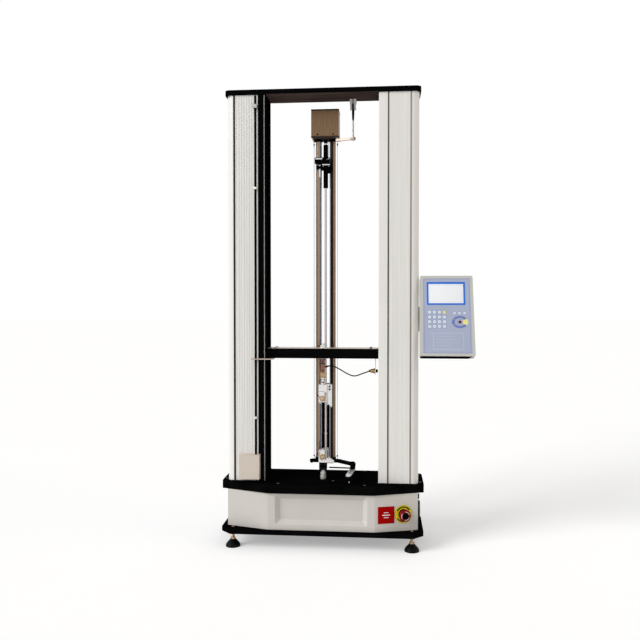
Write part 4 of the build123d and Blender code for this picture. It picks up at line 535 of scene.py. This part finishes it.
# Console: dark foot plate, and the screws and ribs of its back
console_foot = Piece("console_foot_plate", "console", "black", TILT)
console_foot.prism([(x, y, z) for z in (-131.6, -130.9)
                    for x, y in ((-84, -52.4), (76, -52.4), (68, -13.5), (-84, -13.5))])
console_foot.done()
back_screws = Piece("console_screws", "console", "zinc", TILT)
for x in (-74, 74):
    for z in (-118, 118):
        back_screws.screw((x, -13, z), BACK, 3.2, 1.6)
back_screws.done()
ribs = Piece("console_back_ribs", "console", "case", TILT)
for z in range(40, 105, 8):
    ribs.block((10, -13.1, z), (66, -11.6, z + 3), 0.5)
ribs.block((-10, -13.1, -96), (66, -12.2, -50), 0.4)
ribs.done()

# Emergency stop and red plate, in the slanted panel's frame
PANEL_START, PANEL_RUN = (172.5, -91), (138.5, 40.0)
LABEL_Z = 118
LEGEND = (0, -1.65, 0)
COLLAR_RIBS, COLLAR_RADIUS = 24, 16.8


def panel_place(along):
    """Frame on the right-hand slanted panel, that far from its start, with y going into the base."""
    turn = math.atan2(PANEL_RUN[1], PANEL_RUN[0])
    at = (PANEL_START[0] + along * math.cos(turn), PANEL_START[1] + along * math.sin(turn), LABEL_Z)
    return Matrix.Translation(at) @ Matrix.Rotation(turn, 4, "Z")


STOP, MARK = panel_place(94.8), panel_place(37.5)
mushroom = Piece("stop_mushroom", "stop_button", "red", STOP)
mushroom.turned([(0.3, 0), (16.2, 0), (17.2, 0.4), (18.8, 2.4), (19.8, 4.6), (19.7, 6.2), (18.6, 8.4),
                 (16.4, 10.2), (12.5, 11.5), (9.0, 11.9), (5.0, 12.0), (0.3, 12.0)], (0, -13.0, 0), FRONT, 64)
mushroom.rod(5.9, 24, (0, 11.5, 0), FRONT, 32)
mushroom = mushroom.done(50)
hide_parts("stop_button")
arrows = Piece("stop_arrows", "stop_button", "white_print", STOP)
for start in (20, 140, 260):
    arrows.ring(12.2, 13.7, 0.5, (0, -24.3, 0), FRONT, 16, 1.0, start, start + 75)
arrows.done()
stop_cap = Piece("stop_cap", "stop_button", "plastic", STOP)
stop_cap.turned([(0.2, 0), (10.2, 0), (10.5, 0.3), (10.0, 0.6), (0.2, 0.7)], (0, -24.6, 0), FRONT, 40)
stop_cap.done()
collar = Piece("stop_collar", "frame", "plastic", STOP)
collar.ring(14.2, COLLAR_RADIUS, 3.6, (0, -3.4, 0), FRONT, 48)
for k in range(COLLAR_RIBS):
    a = 2 * math.pi * k / COLLAR_RIBS
    collar.turned([(0.1, 0), (0.75, 0), (0.75, 3.2), (0.1, 3.4)],
                  (COLLAR_RADIUS * math.cos(a), -1.7, COLLAR_RADIUS * math.sin(a)), FRONT, 8)
collar.done()
legend_rings = Piece("legend_rings", "frame", "plastic", STOP)
legend_rings.ring(28.2, 28.9, 0.3, LEGEND, FRONT, 72)
for start in (30, 210):
    legend_rings.ring(21.4, 25.6, 0.25, LEGEND, FRONT, 30, 1.0, start, start + 120)
legend_rings.done()
mark_bars = Piece("mark_bars", "frame", "white_print", MARK)
for x0, x1, z0, z1 in ((-13, 13, -1.4, 1.4), (-8, 8, 7, 9), (-8, 8, -9, -7)):
    mark_bars.block((x0, -1.45, z0), (x1, -1.15, z1), 0.1)
mark_bars.done()

# Columns: painted shade lines in the grooves beside the ribbed panels, on the front and the back, each with
# its range in x
COLUMN_SHADE_LINES = (("left_groove_shade", "groove_shade_dark", ((-290.2, -284.8), (-216.0, -213.4))),
                ("right_groove_shade", "groove_shade_warm", ((211.4, 216.2),)),
                ("right_outer_groove_shade", "groove_shade_brown", ((283.0, 288.2),)))
for name, material_name, ranges in COLUMN_SHADE_LINES:
    groove = Piece(name, "frame", material_name)
    for x0, x1 in ranges:
        for y0, y1 in ((-50.3, -48.0), (48.0, 50.3)):
            groove.block((x0, y0, Z_DECK), (x1, y1, Z_TOP), 0.3)
    groove.done()

# Columns: black strips on the left one's inner edge, painted light under the top plate, gaskets at the slots,
# painted shade strips at the ends
black_strips = Piece("column_black_strips", "frame", "plastic")
for x0, x1, y0, y1, round_by in ((-187.3, -182.6, -50.9, -49.9, 0.3), (-183.2, -182.4, -50.9, -40.9, 0.2),
                                 (-183.2, -182.4, 40.9, 50.2, 0.2)):
    black_strips.block((x0, y0, Z_DECK), (x1, y1, Z_TOP), round_by)
black_strips.done()
# Brown sheet under the black top plate: painted light on its underside
underside = Piece("top_underside", "frame", "under")
underside.block((-182, -54, Z_TOP - 0.6), (182, 54, Z_TOP), 0.1)
underside.done()
gaskets_and_end_shade = Piece("column_gaskets_and_end_shade", "frame", "rubber")
for side in SIDES:
    for y_range in ((-43.5, -41.0), (41.0, 43.5)):
        gaskets_and_end_shade.side_block(side, (187.1, 194.5), y_range, COLUMN_Z, 0.3)
    for y_range in ((-41.1, -40.9), (40.9, 41.1)):
        gaskets_and_end_shade.side_block(side, (183.2, 187.1), y_range, COLUMN_Z, 0.05)
    # Dark strips across each column's front at its foot and top: painted shade where it meets the table and
    # the top plate
    for z_range in ((Z_DECK, Z_DECK + 1.8), (Z_TOP - 1.4, Z_TOP)):
        gaskets_and_end_shade.side_block(side, (183.0, 300.0), (-51.2, -49.5), z_range, 0.5)
gaskets_and_end_shade.done()

# Base: screws on the table and on the rear cover
table_screws = Piece("table_screws", "frame", "dark_steel")
for x, y in ((-320, -22), (320, -22), (-320, 85), (320, 85), (35, -30), (-140, -80), (140, -80)):
    table_screws.screw((x, y, Z_DECK), UP, 3.6, 1.2)
for x in (-305, -100, 100, 305):
    for z in (170, 78):
        table_screws.screw((x, 118.2, z), BACK, 3.0, 1.6)
table_screws.done()

# Limit rod: bright collars with their set screws, and the switch box's screws
collars = Piece("limit_collars", "limit_rod", "nickel")
for z in (418, 1164):
    collars.turned([(3.1, 0), (5.8, 0), (6.3, 0.6), (6.3, 7.4), (5.8, 8), (3.1, 8)], (-216.5, -59, z), UP, 28)
    collars.screw((-216.5, -65.2, z + 4), FRONT, 1.7, 0.8)
collars.done()
box_screws = Piece("limit_box_screws", "frame", "zinc")
for z in (240, 283):
    box_screws.screw((-271.2, -61, z), LEFT, 2.2, 1.2)
    box_screws.screw((-201.8, -61, z), RIGHT, 2.2, 1.2)
box_screws.done()

# Crosshead: tan top face, the bolt of the load cell string, and small screws
beam_top = Piece("beam_top", "crosshead", "tan_edge")
beam_top.block((-181.5, -37.6, BEAM_HIGH), (181.5, 37.6, BEAM_HIGH + 0.5), 0.2)
beam_top.done()
beam_bolt = Piece("beam_bolt", "crosshead", "nickel")
for profile, segments in (([(0.5, 0), (13, 0), (13, 2), (0.5, 2.2)], 36),
                          ([(0.5, 2), (9.5, 2), (9.5, 8.5), (8.3, 9.5), (0.5, 9.5)], 6),
                          ([(0.5, 9), (5, 9), (5, 14.5), (4.3, 15.2), (0.5, 15.2)], 24)):
    beam_bolt.turned(profile, (0, 0, BEAM_HIGH), UP, segments)
beam_bolt.done()
beam_screws = Piece("beam_screws", "crosshead", "dark_steel")
for x in (-158, 158):
    for y in (-26, 26):
        beam_screws.screw((x, y, BEAM_HIGH + 0.4), UP, 3.6, 2.4)
beam_screws.done()

# Load cell string: ring, line and screws on the cell, brass nut, coupling rings with their pin
cell_screws = Piece("cell_screws", "crosshead", "dark_steel")
cell_screws.turned([(6.5, 0), (8.6, 0), (9.2, 1.2), (9.2, 4.4), (6.5, 4.4)], (0, 0, 606.6), UP, 30)
for z in (604, 574):
    cell_screws.screw((0, -22.1, z), FRONT, 2.6, 1.4)
cell_screws.block((-6.6, -22.3, 595.2), (6.6, -21.8, 598.2), 0.1)
cell_screws.done()
brass_nut = Piece("brass_nut", "crosshead", "bronze")
brass_nut.turned([(7, 0), (9.0, 0), (9.5, 1), (9.5, 8.6), (9.0, 9.4), (8.0, 9.6), (8.0, 10.4), (9.5, 11),
                  (9.5, 18.6), (9.0, 19.8), (7, 19.8)], (0, 0, 548.1), UP, 6)
brass_nut.done()
coupling = Piece("coupling_rings", "crosshead", "ground")
for z, r in ((542.5, 8.4), (535.0, 7.6), (527.5, 8.2)):
    coupling.turned([(6.5, 0), (r - 0.4, 0), (r, 0.6), (r, 3.4), (r - 0.4, 4), (6.5, 4)], (0, 0, z), UP, 32)
coupling.done()
pins = Piece("coupling_pins", "crosshead", "dark_steel")
pins.rod(2.6, 19, (0, 9.5, 532.5), FRONT, 20)
pins.done()

# Cable plug: brass body with knurled nut, black neck, ring and tail, along x from the cable's end
PLUG = CABLE[-1]
plug_body = Piece("plug_brass", "crosshead", "bronze")
plug_body.turned([(4.5, 0.2), (6.2, 0.2), (6.5, 0.8), (6.5, 8), (6.0, 9), (4.5, 9)], PLUG, RIGHT, 28)
plug_body.turned([(5, 9.8), (8.1, 9.8), (8.5, 10.4), (8.5, 14.2), (8.1, 14.8), (5, 14.8)], PLUG, RIGHT, 48,
                 knurl)
plug_body.done()
plug_black = Piece("plug_black", "crosshead", "plastic")
plug_black.turned([(2.2, -6), (2.9, -6), (4.4, 0), (6.1, 0.1), (6.1, 0.6), (2.2, 0.6)], PLUG, RIGHT, 28)
plug_black.turned([(4, 8.8), (6.6, 8.8), (6.6, 10), (4, 10)], PLUG, RIGHT, 32)
plug_black.turned([(1, 17.6), (5.3, 17.6), (5.3, 23.6), (1, 23.9)], PLUG, RIGHT, 24)
plug_black.done()

# Grips: knurled roller faces with caps and lever tips
GRIP_FRONT = -15
ROLLER_X = -2
LEVER, LEVER_TURN = 18.5, math.radians(35)
for name, z in (("upper", 480), ("lower", 287)):
    body = name + "_roller"
    face = Piece(body + "_face", body, "roller")
    face.turned([(3.3, 0), (9.0, 0), (9.3, 0.5), (9.3, 1.3), (8.6, 1.7), (5.0, 1.9), (4.6, 1.4), (3.3, 1.4)],
                (ROLLER_X, GRIP_FRONT, z), FRONT, 72, wheel)
    face.done()
    cap = Piece(body + "_cap", body, "zinc")
    cap.turned([(0.2, 0), (3.6, 0), (3.8, 0.4), (3.8, 2.2), (3.0, 2.9), (0.2, 3.1)],
               (ROLLER_X, -16, z), FRONT, 28)
    cap.done()
    tip = Piece(name + "_lever_tip", body, "plastic")
    outward = Vector((-math.cos(LEVER_TURN), 0, math.sin(LEVER_TURN)))
    tip.turned([(0.2, -2.6), (1.9, -2.2), (2.5, 0), (1.9, 2.2), (0.2, 2.6)],
               Vector((ROLLER_X, -16.8, z)) + LEVER * outward, outward, 20)
    tip.done()

# Grips: painted shade strips at the throats, seams and screws
# Grey strip beside the upper grip's jaw: painted shade of its throat
grip_throat_painted_shade = Piece("grip_throat_painted_shade", "crosshead", "steel")
grip_throat_painted_shade.block((13.0, -15.5, 459.5), (17.2, -14.9, 526), 0.15)
grip_throat_painted_shade.done()
grip_seams = Piece("grip_seams", "crosshead", "dark_steel")
grip_seams.block((-14.1, -15.3, 503.6), (6.0, -14.9, 504.4), 0.1)
for z in (520.5, 511.5):
    grip_seams.screw((22.5, GRIP_FRONT, z), FRONT, 3.3, 1.8)
grip_seams.done()
jaw_faces = Piece("jaw_faces", "crosshead", "nickel")
for z in (517, 465):
    jaw_faces.screw((-8.5, GRIP_FRONT, z), FRONT, 1.9, 0.9)
jaw_faces.done()
lower_seams_and_shade = Piece("lower_grip_seams_and_throat_shade", "frame", "dark_steel")
# Dark strip beside the lower grip's jaw: painted shade of its throat
lower_seams_and_shade.block((12.8, -15.4, 283.5), (16.6, -14.9, 311), 0.15)
lower_seams_and_shade.screw((-10.6, GRIP_FRONT, 300.5), FRONT, 1.8, 1.2)
lower_seams_and_shade.block((12.5, -12.6, 265.6), (35.4, 12.6, 268.0), 0.4)
for x in (-7, 7):
    for z in (249, 262):
        lower_seams_and_shade.screw((x, -12.5, z), FRONT, 1.9, 0.9)
lower_seams_and_shade.done()

# Extensometer: dark lid, painted shade on the box's underside, its screws, and the brackets under it
lid = Piece("ext_lid", "extensometer", "black")
lid.block((-45.1, 45.4, 1441.6), (49.1, 120.4, 1446.4), 0.9)
for x in (-23.3, 28.9):
    lid.screw((x, 46, 1362.2), FRONT, 2.6, 1.4)
lid.done()
box_underside = Piece("ext_underside", "extensometer", "under")
box_underside.block((-44.9, 45.6, 1352.6), (48.9, 120.3, 1357.4), 0.5)
box_underside.done()
side_brackets = Piece("ext_side_bracket", "extensometer", "steel")
side_brackets.block((-43, 50, 1347.5), (-38.5, 112, 1352.7), 0.8)
side_brackets.block((43, 66, 1349.5), (46, 112, 1352.7), 0.6)
side_brackets.done()

# Extensometer: collars at the tubes' ends, the rod's sleeve, the plate behind, and the painted reflections on
# the tubes
LEFT_TUBE, RIGHT_TUBE, TUBE_Y = -21.5, 25.5, 83
ext_collars = Piece("ext_collars", "extensometer", "plastic")
for x in (LEFT_TUBE, RIGHT_TUBE):
    for z in (1349, 262):
        ext_collars.ring(10.55, 12.1, 10.4, (x, TUBE_Y, z), UP, 40, soft=0.1)
ext_collars.turned([(4.2, 0), (6.4, 0), (6.8, 0.6), (6.8, 10), (6.2, 11), (4.2, 11)], (2, TUBE_Y, 1340), UP,
                   28)
ext_collars.block((-12.6, 92.6, 257.4), (16.6, 93.4, 520), 0.2)
ext_collars.done()
# Each painted reflection: the tube's x, then where it starts and stops about the tube, in degrees
PAINTED_REFLECTIONS = (("tube_dark_painted_reflection", "painted_reflection_dark", ((LEFT_TUBE, 221, 233), (LEFT_TUBE, 290, 306),
                                        (RIGHT_TUBE, 229, 286))),
           ("tube_painted_reflection_tan", "painted_reflection_tan", ((LEFT_TUBE, 233, 285), (RIGHT_TUBE, 286, 338))),
           ("tube_painted_reflection_light", "painted_reflection_light", ((LEFT_TUBE, 180, 221), (LEFT_TUBE, 306, 350),
                                          (RIGHT_TUBE, 180, 229))),
           ("tube_painted_reflection_blue", "painted_reflection_blue", ((RIGHT_TUBE, 338, 360),)))
REFLECTION_LENGTH, REFLECTION_MIDDLE = 1076, 805.5
for name, material_name, arcs in PAINTED_REFLECTIONS:
    reflection_strip = Piece(name, "extensometer", material_name)
    for x, start, stop in arcs:
        reflection_strip.ring(10.4, 10.75, REFLECTION_LENGTH, (x, TUBE_Y, REFLECTION_MIDDLE), UP, 10, 1.0, start, stop, 0.0002)
    reflection_strip.done()
wire_ends = Piece("ext_wire_ends", "extensometer", "dark_steel")
for x in (-38, 42):
    for z in (1333, 267):
        wire_ends.turned([(0.3, 0), (2.2, 0.6), (2.7, 3), (2.2, 5.4), (0.3, 6)], (x, TUBE_Y, z), UP, 18)
wire_ends.done()

# Carriages: bright bars, knob and clips
upper_bars = Piece("upper_carriage_bars", "upper_carriage", "nickel")
upper_bars.block((-31, 59.7, 1281.4), (-8, 60.7, 1286), 0.3)
upper_bars.screw((13, 60.5, 1283.2), FRONT, 2.0, 1.0)
upper_bars.done()
lower_bars = Piece("lower_carriage_bars", "lower_carriage", "nickel")
lower_bars.block((-8, 59.7, 1261.4), (18, 60.7, 1265.2), 0.3)
lower_bars.block((-20, 66.4, 1222), (-15, 68.4, 1264), 0.4)
lower_bars.done()
knobs = Piece("carriage_knobs", "lower_carriage", "plastic")
knobs.turned([(0.3, 0), (6.0, 0), (6.4, 0.8), (6.4, 6.5), (6.0, 7.3), (0.3, 7.4)], (-21.5, 66, 1255.5), LEFT,
             40, knurl)
knobs.block((4, 56, 1233), (19, 61, 1246), 1.0)
knobs.done()
for level, x_values, z in (("upper", (-10, 8), 1278), ("lower", (-4, 14), 1255.5)):
    clips = Piece(level + "_clips", level + "_carriage", "steel")
    for x in x_values:
        clips.turned([(0.3, 0), (1.9, 0), (1.9, 3), (0.5, 5.4)], (x, 50.8, z), FRONT, 18)
    clips.done()

# Spring wire from the box down to the upper carriage
STRING_TOP, STRING_LOW, STRING_RINGS = 1353.5, 1288, 26
STRING_STEP = (STRING_TOP - STRING_LOW) / STRING_RINGS
string = Piece("ext_string", None, "dark_steel")
string.turned([(0.55, STRING_TOP - STRING_STEP * k) for k in range(STRING_RINGS + 1)], (11.5, 78.5, 0), UP, 8)
string = string.done()
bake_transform(string)

# Hanger: black sleeve and slit on the pivot rod, splayed clamp legs and the clamp's pin
PIVOT_X = 97
# Corners of one leg: distance from the pivot rod, and height
LEG = ((1.6, 1471.3), (10.6, 1471.3), (9.4, 1438.4), (4.6, 1438.4))
sleeve = Piece("pivot_sleeve", "frame", "plastic")
sleeve.turned([(2.9, 0), (3.3, 0), (3.7, 12), (4.2, 22), (4.2, 34), (2.9, 34)], (PIVOT_X, 36, 1404), UP, 28)
sleeve.block((95.9, 24.4, 1438.5), (98.1, 29, 1471.5), 0.3)
sleeve.done()
legs = Piece("clamp_legs", "frame", "white_print")
for lean in SIDES:
    legs.prism([(PIVOT_X + lean * out_by, y, z) for y in (23.4, 25.2) for out_by, z in LEG])
legs.done()
clamp_pin = Piece("clamp_screws", "frame", "dark_steel")
clamp_pin.rod(1.0, 19, (87.5, 30, 1461), RIGHT, 18)
clamp_pin.done()

# Lower bracket: screws on the light plate, a bright screw in the foot, the bar's knob and the dark bar
plate_screws = Piece("bracket_screws", "frame", "dark_steel")
for k in (0.28, 0.55, 0.8):
    plate_screws.screw((87 + 10 * k, -54 + 90 * k, 238), UP, 3.4, 1.8)
plate_screws.done()
foot_screw = Piece("foot_screw", "frame", "nickel")
foot_screw.screw((90, -67, 217.5), FRONT, 2.2, 1.0)
foot_screw.done()
bar_knob = Piece("bar_knob", "extensometer", "plastic")
bar_knob.turned([(0.3, 0), (4.5, 0), (5.6, 1), (5.6, 8), (4.8, 9), (0.3, 9)], (-43.5, 76, 253),
                (-0.25, -1, 0), 28, knurl)
bar_knob.done()
lower_bar = Piece("lower_bar", "frame", "black")
lower_bar.rod(2.3, 74, (17, 30, 242), (1, 0.07, -0.03), 16)
lower_bar.done()

# Base: threads and ends of the feet's stems, rear corner blocks, side socket rims
THREAD_PITCH, THREAD_TURNS = 1.2, 9
threads = Piece("stem_threads", "frame", "roller")
thread_profile = [(4.9, 0)]
for k in range(THREAD_TURNS):
    thread_profile += [(5.25, 0.3 + THREAD_PITCH * k), (4.95, 0.9 + THREAD_PITCH * k)]
for x in (-291, 291):
    for y in (-66, 92):
        threads.turned(thread_profile, (x, y, 29), UP, 20)
        threads.turned([(1, 0), (3.6, 0), (3.6, 1.4), (1, 1.5)], (x, y, Z_BASE), UP, 28)
threads.done()
corner_blocks = Piece("rear_corner_blocks", "frame", "black")
for side in SIDES:
    corner_blocks.side_block(side, (296.5, 325.5), (96.5, 124.5), (Z_BASE, 112), 1.2)
    corner_blocks.screw((side * 311, 124.5, 90), BACK, 4.0, 1.2)
corner_blocks.done()
socket_rims = Piece("socket_rims", "frame", "steel")
for z in (165, 135):
    socket_rims.ring(5.2, 7.4, 1.0, (316.1, -20, z), RIGHT, 36)
socket_rims.done()


# Floor, light and camera, in metres
def seen(tree, strength):
    """Strength for rays from the camera and in reflections or glass, and none for the others."""
    path = add(tree, "ShaderNodeLightPath")
    first = add(tree, "ShaderNodeMath", operation="ADD")
    second = add(tree, "ShaderNodeMath", operation="ADD", use_clamp=True)
    scale = add(tree, "ShaderNodeMath", operation="MULTIPLY")
    link(tree, path.outputs["Is Camera Ray"], first.inputs[0])
    link(tree, path.outputs["Is Glossy Ray"], first.inputs[1])
    link(tree, first.outputs[0], second.inputs[0])
    link(tree, path.outputs["Is Transmission Ray"], second.inputs[1])
    link(tree, second.outputs[0], scale.inputs[0])
    scale.inputs[1].default_value = strength
    return scale.outputs[0]


def pale_floor():
    """White floor that keeps shadows and shows as white to the camera and in reflections."""
    material = bpy.data.materials.new("pale_floor")
    tree = empty_tree(material)
    out = add(tree, "ShaderNodeOutputMaterial")
    diffuse = add(tree, "ShaderNodeBsdfDiffuse")
    where = add(tree, "ShaderNodeTexCoord")
    cloud = add(tree, "ShaderNodeTexNoise", Scale=1.5, Detail=3.0)
    ramp = add(tree, "ShaderNodeValToRGB")
    for stop, grey in zip(ramp.color_ramp.elements, (0.88, 0.92)):
        stop.color = (grey, grey, grey, 1)
    link(tree, where.outputs["Object"], cloud.inputs["Vector"])
    link(tree, cloud.outputs["Fac"], ramp.inputs["Fac"])
    link(tree, ramp.outputs["Color"], diffuse.inputs["Color"])
    glow = add(tree, "ShaderNodeEmission", Color=(1, 1, 1, 1))
    link(tree, seen(tree, 0.34), glow.inputs["Strength"])
    both = add(tree, "ShaderNodeAddShader")
    link(tree, diffuse.outputs[0], both.inputs[0])
    link(tree, glow.outputs[0], both.inputs[1])
    link(tree, both.outputs[0], out.inputs["Surface"])
    return material


def sun(name, towards, strength, angle, colour=(1, 1, 1)):
    """Sun that stands in a direction, with its angular size in degrees."""
    light = bpy.data.lights.new(name, "SUN")
    light.energy = strength
    light.color = colour
    light.angle = math.radians(angle)
    obj = bpy.data.objects.new(name, light)
    obj.rotation_mode = "QUATERNION"
    obj.rotation_quaternion = Vector(towards).to_track_quat("Z", "Y")
    bpy.context.scene.collection.objects.link(obj)


floor_mesh = bpy.data.meshes.new("floor")
floor_mesh.from_pydata([(-30, -30, 0), (30, -30, 0), (30, 30, 0), (-30, 30, 0)], [], [(0, 1, 2, 3)])
floor = bpy.data.objects.new("floor", floor_mesh)
bpy.context.scene.collection.objects.link(floor)
floor_mesh.materials.append(pale_floor())

# World: one strength for the light that it gives, and more where it is seen
WORLD_LIGHT, WORLD_SEEN = 0.38, 0.62
world = bpy.data.worlds.new("studio")
bpy.context.scene.world = world
tree = empty_tree(world)
out = add(tree, "ShaderNodeOutputWorld")
sky = add(tree, "ShaderNodeBackground", Color=(1, 1, 1, 1))
total = add(tree, "ShaderNodeMath", operation="ADD")
total.inputs[1].default_value = WORLD_LIGHT
link(tree, seen(tree, WORLD_SEEN), total.inputs[0])
link(tree, total.outputs[0], sky.inputs["Strength"])
link(tree, sky.outputs[0], out.inputs["Surface"])

sun("key_light", (-0.90, -0.62, 0.60), 2.0, 30)
sun("fill_light", (1.0, -0.2, 0.3), 0.5, 40, (1.0, 0.84, 0.68))

# Camera, fitted to the photograph: focal length and width in pixels, turn and tilt in radians
FOCAL, WIDTH, SENSOR = 709.11, 640, 36.0
YAW, PITCH = 0.08738, -0.02503
camera_data = bpy.data.cameras.new("camera")
camera = bpy.data.objects.new("camera", camera_data)
bpy.context.scene.collection.objects.link(camera)
bpy.context.scene.camera = camera
camera_data.sensor_width = SENSOR
camera_data.lens = FOCAL / WIDTH * SENSOR
camera_data.clip_start, camera_data.clip_end = 0.01, 200
forward = Vector((-math.sin(YAW) * math.cos(PITCH), math.cos(YAW) * math.cos(PITCH), math.sin(PITCH)))
camera.location = (0.19453, -2.34139, 0.79845)
camera.rotation_mode = "QUATERNION"
camera.rotation_quaternion = (-forward).to_track_quat("Z", "Y")
bpy.context.scene.view_settings.view_transform = "Standard"
